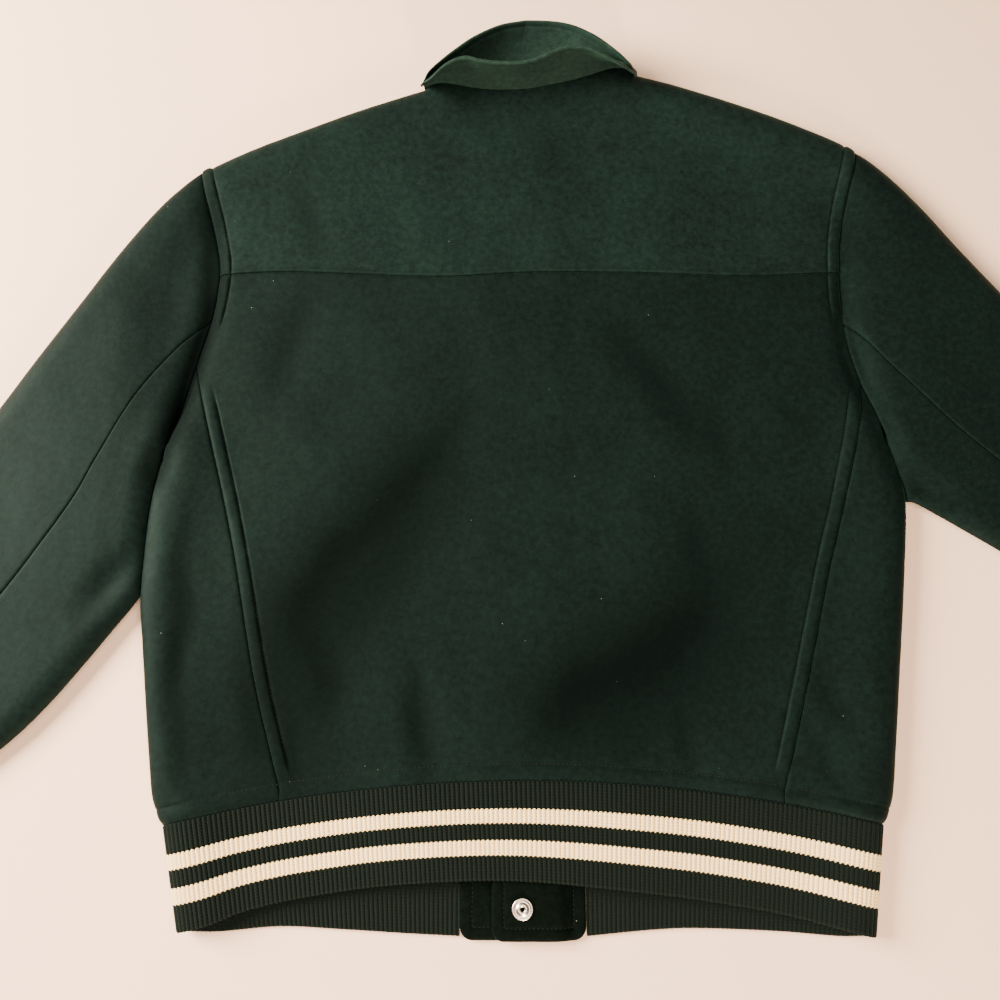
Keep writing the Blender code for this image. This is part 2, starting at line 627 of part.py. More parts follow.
def sleeve_plan(edge, rows, turn, place):
    """Plan grid of a sleeve: a row for each section, columns from the top fold to the under fold."""
    rows = np.array(rows)
    armhole = beside(edge, -turn * SEAM_GAP / 2)[place["parting"] :][::-1]
    armhole[0], armhole[-1] = rows[0, :2] - (turn * SEAM_GAP / 2, 0), rows[0, 2:] - (turn * SEAM_GAP / 2, 0)
    share = lengths(armhole) / lengths(armhole)[-1]
    cuff_seam = rows[-1, :2] + (rows[-1, 2:] - rows[-1, :2]) * share[:, None]
    top_fold, under_fold = rows[:, :2].copy(), rows[:, 2:].copy()
    top_fold[0], under_fold[0] = armhole[0], armhole[-1]
    return coons(armhole, cuff_seam, top_fold, under_fold), share


def seam_drawn(plan, share, cut, seam_shares):
    """The sleeve's plan with one column drawn along the back seam, and the others spaced on either side.

    The row at the armhole stays as it is, so that it meets the body's edge."""
    drawn = plan.copy()
    for number, seam in enumerate(seam_shares[1:], start=1):
        wanted = np.interp(share, (0.0, share[cut], 1.0), (0.0, seam, 1.0))
        drawn[number] = np.column_stack([np.interp(wanted, share, plan[number, :, axis]) for axis in (0, 1)])
    return drawn


def sleeve_pieces(parts, outline, edges, place, wool):
    table = np.array(BACK_SLEEVE_SEAM)
    for side, edge, rows, turn in (("left", edges[0], LEFT_SLEEVE, 1), ("right", edges[1], RIGHT_SLEEVE, -1)):
        plan, share = sleeve_plan(edge, rows, turn, place)
        seam_shares = np.interp(np.arange(len(rows)), table[:, 0], table[:, 1 if side == "left" else 2])
        cut = [int(np.argmin(abs(share - seam))) for seam in (seam_shares[0], FRONT_SLEEVE_SEAM)]
        back = skin(outline, seam_drawn(plan, share, cut[0], seam_shares), 1, WOOL)
        front = skin(outline, plan, -1, WOOL)
        gap = SEAM_GAP / 2

        def strip(skins, first, last, low, high):
            """Columns first to last of a face, its end columns moved in by half the seam's gap."""
            made = []
            for grid in skins:
                grid = grid[:, first : last + 1].copy()
                for own, near, moves in ((0, 1, low), (-1, -2, high)):
                    step = grid[:, near] - grid[:, own]
                    grid[:, own] += moves * gap * step / np.linalg.norm(step, axis=1)[:, None]
                made.append(grid)
            return made

        last = len(share) - 1
        upper = [(*strip(back, 0, cut[0], 0, 1), turn > 0), (*strip(front, 0, cut[1], 0, 1), turn < 0)]
        under = [(*strip(back, cut[0], last, 1, 0), turn > 0), (*strip(front, cut[1], last, 1, 0), turn < 0)]
        walled(parts, f"upper_sleeve_{side}", upper, wool)
        walled(parts, f"under_sleeve_{side}", under, wool)


def collar(parts, outline, finish):
    """The collar, lofted from the neck seam all round to its free edge, its ends meeting at the centre."""
    seams = {"back": smooth(BACK_NECK)[::-1]}
    for side, turn in (("left", -1), ("right", 1)):
        point, centre = front_neck(side)[:2]
        seams[side] = np.array([point, centre + (turn * SEAM_GAP / 2, 0.0)])
    leaves = np.array(COLLAR_LEAVES)
    base, middle, top, ways, fronts = [], [], [], [], []
    for seam, share, x, y, z in COLLAR_EDGE:
        line = seams[seam]
        face = 1 if seam == "back" else -1
        spot = spread(line, [1 - share if seam == "back" else share])[0]
        way = np.array([0.0, 1.0])
        if seam == "back":
            way = (beside(line, 1.0) - line)[int(np.argmin(np.hypot(*(line - spot).T)))]
        height = skin(outline, np.array([[spot, spot]]), face, WOOL)[0][0, 0, 2]
        upright = math.sqrt(1 - max(0.0, 1 - outline.distance(spot[None])[0] / FOLD_REACH) ** 2)
        spot = spot + COLLAR_OUT * way
        start = np.array([*spot, height - COLLAR_SUNK if face > 0 else height + SEAM_GAP])
        end = np.array([x, y, z])
        # 0 at the back, 1 at the shoulder's fold, 2 at the front.
        towards_front = 1 - face * upright
        leave, rise = [np.interp(towards_front, leaves[:, 0], leaves[:, k]) for k in (1, 2)]
        if face < 0:
            leave = max(leave, (y - spot[1]) * COLLAR_FRONT_REACH)
        control = start + np.array([(x - spot[0]) * COLLAR_SIDEWAYS, 0.0, rise * (z - start[2])])
        control[:2] += leave * way
        base.append(start)
        middle.append(control)
        top.append(end)
        ways.append(way)
        fronts.append(towards_front)
    base, middle, top, ways = np.array(base), np.array(middle), np.array(top), np.array(ways)
    t = np.array(COLLAR_ROWS)[:, None, None]
    outer = (1 - t) ** 2 * base + 2 * t * (1 - t) * middle + t**2 * top
    back = np.array(fronts) < FRONT_OF_FOLD

    def clear_of_yoke(points):
        """Points that lean back over the yoke, raised where they would come too near it."""
        over = (((points[..., :2] - base[:, :2]) * ways).sum(2) < 0.0) & back
        over[0] = False
        yoke_top = skin(outline, points[..., :2], 1, WOOL)[0][..., 2]
        points[..., 2] = np.where(over, np.maximum(points[..., 2], yoke_top + COLLAR_CLEAR), points[..., 2])
        return points

    outer = clear_of_yoke(outer)
    steps = np.diff(outer, axis=1)
    steps /= np.linalg.norm(steps, axis=2)[..., None]
    round_the_neck = np.concatenate([steps[:, :1], steps[:, 1:] + steps[:, :-1], steps[:, -1:]], axis=1)
    inwards = np.cross(round_the_neck, np.gradient(outer, axis=0))
    inwards /= np.linalg.norm(inwards, axis=2)[..., None]
    # At the seam the wall lies outwards at the back, inwards at the shoulder's fold and upwards at the front.
    turn = math.pi / 2 * np.array(fronts)
    shoulder_side = -np.sign(base[:, 0] - base[:, 0].mean())
    at_seam = np.zeros_like(base)
    at_seam[:, :2] = np.where(back, np.cos(turn) + COLLAR_LEAN, 0.0)[:, None] * ways
    at_seam[:, 0] += np.sin(turn) * shoulder_side
    at_seam[:, 2] = np.maximum(-np.cos(turn), 0.0)
    share = eased((t - COLLAR_TURN[0]) / (COLLAR_TURN[1] - COLLAR_TURN[0]))
    inwards = at_seam * (1 - share) + inwards * share
    # The ends meet squarely at the centre front.
    inwards[:, [0, -1], 0] = 0.0
    inwards /= np.linalg.norm(inwards, axis=2)[..., None]
    ends = base[:, 0]
    from_end = np.minimum(ends.max() - ends, ends - ends.min())
    thickness = COLLAR_END_WALL + (COLLAR_WALL - COLLAR_END_WALL) * eased(from_end / COLLAR_END_REACH)
    walled(parts, "collar", [(outer, clear_of_yoke(outer + thickness[:, None] * inwards), True)], finish)


# ---- Rib knit ----


def zipped(a, b):
    """Triangles that join two runs of points whose ends line up."""
    faces, i, j = [], 0, 0
    while i < len(a) - 1 or j < len(b) - 1:
        if j == len(b) - 1 or (i < len(a) - 1 and (i + 0.5) / (len(a) - 1) <= (j + 0.5) / (len(b) - 1)):
            faces.append((a[i], a[i + 1], b[j]))
            i += 1
        else:
            faces.append((a[i], b[j + 1], b[j]))
            j += 1
    return faces


def ribbed(parts, name, section, count, closed, ribs_inside, finish):
    """A rib-knit strip. section(fraction) gives outer and inner rows across the strip at each fraction.

    Each rib is two columns wide on its ribbed face; the plain face has one column for several ribs."""
    fine = 2 * RIBS_PER_PLAIN_STEP
    blocks = count // RIBS_PER_PLAIN_STEP
    columns = blocks * fine
    fractions = np.linspace(0.0, 1.0, columns + 1)
    outer, inner = section(fractions)
    thread = np.where(np.arange(columns + 1) % 2 == 0, 0.0, RIB_RAISE)[None, :, None]
    way = outer - inner
    way /= np.linalg.norm(way, axis=2)[..., None]
    inside = ribs_inside(fractions)
    raised = outer[..., 2:] > RIB_CLEAR
    relief = np.where(inside[None, :, None], 0.0, thread) * raised
    outer = outer - way * relief
    inner = inner + way * np.where(inside[None, :, None], thread, 0.0)
    rows = outer.shape[0]
    points = np.concatenate([face.transpose(1, 0, 2).reshape(-1, 3) for face in (outer, inner)])
    offset = (columns + 1) * rows
    faces = []

    def corner(side, column, row):
        if closed:
            column %= columns
        return side * offset + column * rows + row

    for block in range(blocks):
        start, stop = block * fine, (block + 1) * fine
        plain = 0 if inside[start + fine // 2] else 1
        runs = [list(range(start, stop + 1)), list(range(start, stop + 1))]
        runs[plain] = [start, stop]
        for side in (0, 1):
            for c, d in zip(runs[side][:-1], runs[side][1:]):
                for row in range(rows - 1):
                    low = (corner(side, c, row), corner(side, d, row))
                    high = (corner(side, d, row + 1), corner(side, c, row + 1))
                    faces.append(low + high if side == 0 else (low + high)[::-1])
        for row in (0, rows - 1):
            for face in zipped([corner(0, c, row) for c in runs[0]], [corner(1, c, row) for c in runs[1]]):
                faces.append(face if row else face[::-1])
    if not closed:
        for column in (0, columns):
            for row in range(rows - 1):
                near = (corner(0, column, row), corner(0, column, row + 1))
                far = (corner(1, column, row + 1), corner(1, column, row))
                faces.append((near + far)[::-1] if column else near + far)
    used = sorted({number for face in faces for number in face})
    new_number = {number: place for place, number in enumerate(used)}
    faces = [tuple(new_number[number] for number in face) for face in faces]
    add_mesh(parts, name, points[used], faces, finish)


def band_course():
    """Plan rows of the hem band from the right tab round the back to the left tab, with their faces."""
    inset = FOLD_REACH * (1 - np.cos(np.linspace(0, math.pi / 2, BAND_FOLD_COLUMNS)))

    def from_fold(low, top, reach):
        """Points of two lines crowded towards their fold, which is at the start."""
        gone = np.concatenate([inset, np.linspace(FOLD_REACH, lengths(low)[-1] * reach, BAND_COLUMNS)[1:]])
        return along(low, gone), spread(top, gone / lengths(low)[-1])

    corner_left, corner_right = [
        along(np.array(side), lengths(np.array(side))[-1:] - SEAM_GAP / 2)[0]
        for side in (BAND_SIDE_LEFT, BAND_SIDE_RIGHT)
    ]
    u = np.linspace(0.0, 1.0, BAND_TOP_POINTS)[:, None]
    back_top = corner_left + (corner_right - corner_left) * u + np.array([0, BAND_ARCH]) * 4 * u * (1 - u)
    back_low = smooth(BACK_HEM)
    front_top_right = np.array([corner_right, (FRONT_HEM_RIGHT[0][0], TAB_TOP)])
    front_top_left = np.array([corner_left, (FRONT_HEM_LEFT[-1][0], TAB_TOP)])
    lines = [
        (smooth(FRONT_HEM_RIGHT)[::-1], front_top_right, -1, 1.0, True),
        (back_low[::-1], back_top[::-1], 1, 0.5, False),
        (back_low, back_top, 1, 0.5, True),
        (smooth(FRONT_HEM_LEFT), front_top_left, -1, 1.0, False),
    ]
    lows, tops, faces = [], [], []
    for low, top, face, reach, backwards in lines:
        low_p, top_p = from_fold(low, top, reach)
        order = slice(None, None, -1) if backwards else slice(None)
        lows.append(low_p[order])
        tops.append(top_p[order])
        faces += [face] * len(low_p)
    return np.vstack(lows), np.vstack(tops), np.array(faces)


def hem_band(parts, outline, rib):
    low, top, face = band_course()
    rows = []
    for share in BAND_ROWS:
        plan = low + (top - low) * share
        outer, inner = np.empty((len(plan), 3)), np.empty((len(plan), 3))
        for side in (1, -1):
            here = face == side
            out_points, in_points = skin(outline, plan[None, here], side, RIB_WALL + RIB_RAISE)
            outer[here], inner[here] = out_points[0], in_points[0]
        rows.append((outer, inner))
    middle = rows[1][0]
    step = np.r_[True, np.linalg.norm(np.diff(middle, axis=0), axis=1) > SMALLEST]
    gone = lengths(middle[step])
    count = int(gone[-1] / RIB_PITCH) // RIBS_PER_PLAIN_STEP * RIBS_PER_PLAIN_STEP

    def section(fractions):
        return [np.stack([spread(row[k][step], fractions) for row in rows]) for k in (0, 1)]

    def ribs_inside(fractions):
        return np.interp(fractions * gone[-1], gone, (face[step] < 0).astype(float)) > 0.5

    ribbed(parts, "hem_band", section, count, False, ribs_inside, rib)


def cuff(parts, side, rows, rib):
    """A rib cuff: a flattened tube that eases in from the sleeve's end, flat underneath."""
    top, under = np.array(rows[-1][:2]), np.array(rows[-1][2:])
    across = under - top
    width = np.linalg.norm(across)
    across /= width
    down = np.array([across[1], -across[0]])
    if (top - np.array(rows[-2][:2])) @ down < 0:
        down = -down
    centre = (top + under) / 2
    wall = RIB_WALL + RIB_RAISE

    stations = (
        # distance from the seam, width, height
        (SEAM_GAP, width - CUFF_TUCK, CUFF_LOFT),
        (CUFF_EASE, CUFF_WIDTH + CUFF_FLARE, CUFF_LOFT - 1),
        (CUFF_LENGTH, CUFF_WIDTH, CUFF_LOFT - 2),
    )

    def section(fractions):
        outer, inner = [], []
        for distance, wide, high in stations:
            round_end = high / 2
            straight = wide - high
            turn = math.pi * round_end
            spot = fractions * 2 * (straight + turn)
            side_at = [spot < straight, spot < straight + turn, spot < 2 * straight + turn]
            flat_x = np.select(
                side_at,
                [spot - straight / 2, straight / 2, straight * 1.5 + turn - spot],
                -straight / 2,
            )
            angle = np.select(
                side_at,
                [math.pi / 2, math.pi / 2 - (spot - straight) / round_end, -math.pi / 2],
                -math.pi / 2 - (spot - 2 * straight - turn) / round_end,
            )
            place = centre + down * distance
            for reach, rows_made in ((round_end, outer), (round_end - wall, inner)):
                run = flat_x + reach * np.cos(angle)
                height = round_end + reach * np.sin(angle)
                rows_made.append(np.column_stack([place + run[:, None] * across, height]))
        # Seen along +down, the ring runs the other way on the other sleeve.
        if across[0] * down[1] - across[1] * down[0] < 0:
            outer, inner = outer[::-1], inner[::-1]
        return np.stack(outer), np.stack(inner)

    perimeter = 2 * CUFF_WIDTH + (math.pi - 2) * CUFF_LOFT
    count = int(perimeter / RIB_PITCH) // RIBS_PER_PLAIN_STEP * RIBS_PER_PLAIN_STEP
    ribbed(parts, f"cuff_{side}", section, count, True, lambda fractions: np.zeros(len(fractions), bool), rib)


def hem_tab(parts, name, first_x, lift, wool):
    """A wool end of the band: a doubled plate with round lower corners."""
    bend = np.linspace(0, math.pi / 2, TAB_CORNER_POINTS)
    corner = TAB_CORNER * np.column_stack([1 - np.cos(bend), 1 - np.sin(bend)])
    middle = np.column_stack([np.array(TAB_COLUMNS) * TAB_WIDTH, np.zeros(len(TAB_COLUMNS))])
    mirrored = (np.array([TAB_WIDTH, 0.0]) + corner * (-1, 1))[::-1]
    bottom = np.vstack([corner, middle, mirrored]) + (first_x, 0.0)
    top = np.column_stack([bottom[:, 0], np.full(len(bottom), TAB_TOP - SEAM_GAP / 2)])
    share = np.linspace(0, 1, TAB_ROWS)[:, None]
    plan = bottom + (top - bottom) * share[..., None]
    height = lift_at(plan[..., 0], lift) if lift else np.zeros(plan.shape[:2])
    lower = np.dstack([plan, height])
    upper = lower + (0.0, 0.0, TAB_WALL)
    walled(parts, name, [(upper, lower, False)], wool)


def in_frame(x, y, z):
    """A place in the tables' millimetres, in the frame."""
    return (x * METRE, (y - ORIGIN_FROM_HEM) * METRE, z * METRE)


def snaps(parts, metal):
    """The rings of the press studs, turned from one profile and set on the right front's inner face."""
    profile = (
        # from the axis, up
        (SNAP_RADIUS - SNAP_EDGE, 0.0),
        (SNAP_HOLE, 0.0),
        (SNAP_HOLE, SNAP_RISE * 0.6),
        ((SNAP_RADIUS + SNAP_HOLE) / 2, SNAP_RISE),
        (SNAP_RADIUS, SNAP_RISE * 0.5),
    )
    mesh = bpy.data.meshes.new("snap_ring")
    points = [(x * METRE, 0.0, z * METRE) for x, z in profile]
    mesh.from_pydata(points, [(k, (k + 1) % len(points)) for k in range(len(points))], [])
    mesh.materials.append(metal)
    for number, height in enumerate(SNAP_HEIGHTS, start=1):
        made = bpy.data.objects.new(f"snap_{number}", mesh)
        seat = WOOL + SEAM_GAP + WOOL if number > 1 else 2 * TAB_WALL + SEAM_GAP
        made.location = in_frame(0.0, height, seat + SEAM_GAP)
        turn = made.modifiers.new("turned", "SCREW")
        turn.axis = "Z"
        turn.steps = turn.render_steps = SNAP_SIDES
        turn.use_merge_vertices = True
        turn.merge_threshold = SNAP_MERGE
        parts.objects.link(made)


def main():
    parts = scene_cleared()
    wool = [material(f"melton_{name}", *MELTON) for name in ("back", "front", "sleeve", "collar", "tab")]
    rib = [material(f"rib_knit_{name}", *RIB_KNIT) for name in ("band", "cuff")]
    metal = material("nickel", *NICKEL)
    outline = Outline(fold_lines())
    edges, place = edge_stations()
    back_pieces(parts, outline, edges, place, wool[0])
    front_pieces(parts, outline, edges, wool[1])
    sleeve_pieces(parts, outline, edges, place, wool[2])
    collar(parts, outline, wool[3])
    hem_band(parts, outline, rib[0])
    cuff(parts, "left", LEFT_SLEEVE, rib[1])
    cuff(parts, "right", RIGHT_SLEEVE, rib[1])
    hem_tab(parts, "hem_tab_left", OVERLAP_RIGHT - TAB_WIDTH, 0.0, wool[4])
    hem_tab(parts, "hem_tab_right", OVERLAP_LEFT, TAB_WALL + SEAM_GAP, wool[4])
    snaps(parts, metal)


main()
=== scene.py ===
import math

import bpy
import numpy as np
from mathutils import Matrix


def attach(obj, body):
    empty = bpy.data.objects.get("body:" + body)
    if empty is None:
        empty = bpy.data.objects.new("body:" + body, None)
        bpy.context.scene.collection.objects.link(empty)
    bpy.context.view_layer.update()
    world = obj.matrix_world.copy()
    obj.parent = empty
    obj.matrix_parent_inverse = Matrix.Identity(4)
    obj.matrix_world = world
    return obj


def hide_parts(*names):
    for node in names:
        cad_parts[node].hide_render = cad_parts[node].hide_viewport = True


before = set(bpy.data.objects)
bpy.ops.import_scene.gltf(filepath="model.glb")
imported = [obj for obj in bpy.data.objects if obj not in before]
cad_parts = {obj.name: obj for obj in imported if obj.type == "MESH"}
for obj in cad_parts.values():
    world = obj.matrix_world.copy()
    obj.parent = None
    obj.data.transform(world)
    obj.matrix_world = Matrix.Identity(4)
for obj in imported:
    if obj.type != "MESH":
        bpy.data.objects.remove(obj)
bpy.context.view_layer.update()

originFromHem = 350.0
metre = 0.001

wool = {
    "wall": 2.2,
    "seamGap": 0.3,
    "foldHeight": 8.0,
    "foldReach": 18.0,
    "foldSwell": 24.0,
}
# Heights of the back's face: at rest on the front, over the snaps and the tabs, near the folds, on the
# sleeves and at the cuffs, and the least that a hollow leaves. Then how far from the centre the body's
# height begins to turn into the sleeve's, over what distance, and the same for the sleeve's and the cuff's.
loftHeights = {
    "body": 10.6, "snaps": 11.2, "tabs": 13.8, "edge": 16.0, "sleeve": 17.5, "cuff": 14.0, "least": 5.0,
    "bodyEnd": 270.0, "sleeveTurn": 60.0, "sleeveStart": 330.0, "cuffTurn": 230.0,
}
overlap = {"left": -22.0, "right": 22.9, "ease": 1.5, "slope": 14.0}
tabShape = {
    "width": 67.8, "top": 76.0, "corner": 9.0, "wall": 4.4, "stitchIn": 9.0,
    "roll": 1.7, "rollReach": 2.2, "grooveDepth": 0.55, "grooveWidth": 0.8, "plump": 0.35, "threadSunk": 0.8,
}

# The body's outer edge, x and y on the left and on the right, from the band seam up to the shoulder tip.
bodyEdge = np.array((
    (-262.0, 78.5, 263.5, 79.5),
    (-270.5, 97.0, 271.5, 98.0),
    (-275.5, 125.0, 277.0, 130.0),
    (-282.0, 168.0, 285.5, 186.0),
    (-288.0, 210.0, 295.0, 250.0),
    (-292.5, 246.0, 303.5, 320.0),
    (-291.5, 310.0, 298.5, 348.0),
    (-285.5, 352.0, 292.5, 372.0),
    (-273.5, 400.0, 286.5, 394.0),
    (-266.2, 431.0, 280.3, 417.0),
    (-261.4, 451.0, 272.0, 450.0),
    (-254.6, 480.0, 268.3, 488.0),
    (-251.0, 514.5, 268.6, 517.5),
    (-255.5, 545.0, 273.0, 557.0),
    (-272.5, 610.0, 290.5, 629.5),
))
# Points of the smoothed edge at the sleeve's parting, the underarm, the panel seam and the yoke seam.
edgePlaces = {"parting": 50, "underarm": 70, "panelSeam": 90, "yokeSeam": 120}

shoulderLeft = (
    (-272.5, 610.0), (-231.5, 631.4), (-189.4, 650.0), (-146.7, 667.8), (-103.6, 684.0), (-82.0, 691.5),
)
shoulderRight = ((290.5, 629.5), (269.5, 643.1), (210.7, 669.8), (142.0, 695.0), (103.5, 706.5))
backNeck = (
    (-82.0, 691.5), (-67.0, 693.6), (-22.1, 690.4), (11.1, 692.0), (51.5, 701.0), (86.9, 708.8),
    (103.5, 706.5),
)
frontNeckHeight = 690.0
neckColumns = (0.325, 0.68)
yokeRise = ((0.0, 0.0), (0.12, 2.5), (0.35, -2.5), (0.5, 1.0), (0.66, 0.5), (0.85, -3.0), (1.0, 0.0))
bandArch = 31.0
panelSeamLeft = ((-178.1, 103.2), (-201.5, 182.4), (-222.3, 277.9), (-242.4, 354.8), (-265.1, 433.4))
panelSeamRight = ((192.2, 101.2), (214.7, 178.5), (235.5, 256.0), (257.5, 330.0), (279.3, 419.5))

# Each sleeve's top fold and under fold, x and y of both, from the armhole down to the cuff seam.
leftSleeve = np.array((
    (-272.5, 610.0, -292.5, 246.0),
    (-284.0, 600.0, -301.0, 233.5),
    (-306.0, 576.0, -315.0, 215.0),
    (-335.0, 535.0, -333.0, 191.0),
    (-361.0, 493.0, -352.0, 167.0),
    (-391.0, 445.0, -373.0, 144.0),
    (-430.0, 380.0, -397.0, 123.0),
    (-480.0, 300.0, -424.0, 103.0),
    (-530.0, 219.0, -451.0, 86.0),
    (-575.0, 148.0, -475.0, 72.0),
))
rightSleeve = np.array((
    (290.5, 629.5, 303.5, 320.0),
    (302.0, 620.8, 311.0, 319.0),
    (322.0, 600.5, 324.0, 311.5),
    (346.0, 571.0, 345.0, 298.5),
    (372.0, 535.0, 373.0, 281.0),
    (410.0, 486.0, 405.0, 260.0),
    (456.0, 432.0, 443.0, 233.0),
    (520.0, 360.0, 483.0, 204.0),
    (584.0, 289.0, 523.0, 173.0),
    (648.0, 217.0, 560.0, 141.0),
))
# Shares of a sleeve's width, from its top fold: at its back seam, beside rows of the tables above, and at
# its front seam.
sleeveSeams = {
    "left": {
        "back": ((0, 0.373), (1, 0.375), (2, 0.378), (3, 0.40), (4, 0.462), (5, 0.52), (9, 0.60)),
        "front": 0.717,
    },
    "right": {
        "back": ((0, 0.503), (1, 0.522), (2, 0.565), (3, 0.602), (4, 0.63), (5, 0.64), (9, 0.66)),
        "front": 0.716,
    },
}

bandSides = {"left": ((-246.0, 6.0), (-262.0, 78.5)), "right": ((251.0, 3.0), (263.5, 79.5))}
backHem = (
    (-246.0, 6.0), (-222.0, 12.0), (-197.0, 21.0), (-154.0, 30.0), (-84.0, 39.0), (0.0, 41.0), (97.0, 32.0),
    (160.0, 23.0), (201.5, 15.0), (251.0, 3.0),
)
frontHemLeft = ((-246.0, 6.0), (-218.0, 5.5), (-174.0, 9.0), (-129.0, 7.0), (-84.0, 4.4), (-44.9, 2.5))
frontHemRight = ((46.2, 2.5), (98.0, 7.0), (131.0, 7.7), (184.0, 5.7), (227.0, 2.5), (251.0, 3.0))

# The collar's free edge from its right end round to its left end, over the neck seam that each point
# stands on: 0 right front, 1 back, 2 left front, and its share of the way along that seam.
collarEdge = np.array((
    (0, 1.00, 5.81, 737.6, 40.0),
    (0, 0.87, 20.8, 737.4, 40.0),
    (0, 0.74, 34.7, 736.2, 40.0),
    (0, 0.62, 46.6, 733.4, 39.9),
    (0, 0.50, 57.6, 728.4, 39.8),
    (0, 0.38, 69.7, 721.0, 39.5),
    (0, 0.25, 82.0, 710.0, 39.2),
    (0, 0.12, 91.2, 699.9, 38.8),
    (0, 0.04, 95.4, 693.1, 38.2),
    (1, 1.00, 100.6, 691.0, 29.0),
    (1, 0.985, 100.2, 688.6, 31.0),
    (1, 0.95, 97.2, 686.0, 36.5),
    (1, 0.89, 88.8, 684.9, 45.0),
    (1, 0.80, 71.6, 690.2, 51.3),
    (1, 0.70, 54.8, 695.2, 56.3),
    (1, 0.59, 37.4, 694.0, 57.1),
    (1, 0.48, 9.8, 684.0, 53.7),
    (1, 0.37, -11.9, 682.6, 53.1),
    (1, 0.27, -31.3, 684.0, 53.7),
    (1, 0.18, -45.7, 687.0, 54.2),
    (1, 0.10, -60.8, 683.5, 49.3),
    (1, 0.045, -74.3, 677.0, 41.5),
    (1, 0.015, -81.3, 678.5, 34.5),
    (1, 0.00, -83.5, 680.0, 29.0),
    (2, 0.04, -79.8, 681.1, 38.2),
    (2, 0.12, -76.4, 687.8, 38.8),
    (2, 0.28, -67.4, 697.9, 39.2),
    (2, 0.44, -53.5, 711.1, 39.3),
    (2, 0.60, -37.4, 723.0, 39.6),
    (2, 0.80, -16.0, 733.2, 40.0),
    (2, 1.00, 5.79, 737.6, 40.0),
))

# Where the cloth sinks: width, then points with the depth at each. First the hollows at the right
# armhole and under the arms, which get no painted shade.
plainHollows = (
    (11.0, (
        (294.0, 368.0, 3.5), (279.5, 420.0, 7.0), (271.0, 460.0, 6.5), (269.0, 510.0, 4.0),
        (276.0, 570.0, 1.5), (290.0, 630.0, 0.0),
    )),
    (12.0, ((-296.0, 275.0, 2.0), (-312.0, 258.0, 5.0), (-338.0, 225.0, 0.0))),
    (12.0, ((303.0, 345.0, 3.0), (318.0, 330.0, 5.0), (348.0, 312.0, 0.0))),
)
# Then the broad hollows and the soft folds that lie in them, where the wool's colour is also painted darker as
# shade.
shadedHollows = (
    (10.0, (
        (-289.0, 340.0, 2.5), (-274.0, 398.0, 4.5), (-263.0, 445.0, 4.5), (-254.0, 495.0, 4.5),
        (-258.0, 560.0, 3.5), (-273.0, 612.0, 0.5),
    )),
    (3.5, (
        (-253.5, 492.0, 1.0), (-257.0, 472.0, 3.0), (-261.8, 451.0, 4.5), (-266.6, 431.0, 5.0),
        (-273.8, 400.0, 5.0), (-281.5, 370.0, 3.0),
    )),
    (42.0, (
        (-40.5, 415.1, 0), (-94.6, 321.2, 3.0), (-132.4, 257.9, 3.8), (-168.1, 204.9, 3.6), (-171.1, 98.7, 1.8),
    )),
    (44.0, ((36.1, 160.1, 2.4), (82.0, 186.6, 4.2), (133.0, 222.3, 3.2), (173.9, 333.5, 0))),
    (9.0, ((-267.1, 287.5, 0), (-259.9, 211.0, 1.2), (-249.7, 129.3, 1.5), (-244.6, 94.6, 0))),
    (12.0, ((-87.4, 216.1, 0), (-73.2, 149.8, 1.4), (-67.0, 111.0, 0.6))),
    (13.0, ((-188, 603, 0.3), (-180, 580, 1.2), (-172, 551, 1.3), (-167, 533, 0.6))),
    (14.0, ((-173, 501, 0.6), (-183, 470, 1.5), (-194, 430, 1.4), (-203, 393, 0.3))),
    (13.0, (
        (-40, 400, 0.5), (-64, 361, 1.7), (-85, 335, 2.0), (-113, 301, 1.7), (-141, 280, 1.9), (-157, 251, 1.8),
        (-166, 227, 1.3), (-150, 198, 1.7), (-142, 176, 1.7), (-147, 153, 0.4),
    )),
    (9.0, (
        (-254, 317, 0.3), (-261, 274, 1.3), (-252, 234, 1.5), (-258, 202, 1.5), (-262, 173, 1.3), (-262, 146, 0.3),
    )),
    (8.0, ((-213, 205, 0.2), (-202, 163, 1.2), (-194, 132, 0.8))),
    (10.0, ((-74, 201, 0.2), (-79, 163, 1.2), (-74, 132, 1.0))),
    (7.0, ((-174, 159, 0.2), (-167, 124, 1.2), (-165, 113, 0.6))),
    (18.0, ((8, 667, 0.3), (29, 632, 1.0), (57, 603, 0.4))),
    (9.0, ((-53, 690, 0.5), (-32, 666, 0.8), (-16, 647, 0.2))),
    (17.0, ((65, 488, 0.3), (89, 452, 1.6), (114, 422, 1.9), (135, 388, 1.4), (141, 362, 0.2))),
    (10.0, ((155, 403, 0.2), (160, 375, 1.1), (164, 346, 0.3))),
    (9.0, ((211, 408, 0.1), (221, 389, 0.9), (234, 371, 0.2))),
    (16.0, (
        (147, 250, 0.3), (133, 229, 1.8), (105, 205, 2.2), (76, 191, 2.3), (48, 179, 2.3), (31, 159, 2.0),
        (23, 139, 0.4),
    )),
    (8.0, ((121, 164, 0.2), (122, 142, 1.5), (124, 121, 0.6))),
    (9.0, ((203, 262, 0.1), (203, 235, 0.9), (199, 212, 0.1))),
    (10.0, ((139, 317, 0.1), (138, 290, 1.0), (143, 266, 0.3))),
    (8.0, ((225, 197, 0.1), (230, 174, 1.1), (241, 152, 0.9), (249, 132, 0.2))),
    (8.0, ((216, 142, 0.2), (225, 121, 1.0), (233, 103, 0.4))),
)


def toFrame(points):
    return (np.asarray(points, float) - (0.0, originFromHem, 0.0)) * metre


# Lines in plan


def lengths(line):
    # distance along a polyline at each of its points
    return np.concatenate([[0.0], np.cumsum(np.linalg.norm(np.diff(line, axis=0), axis=1))])


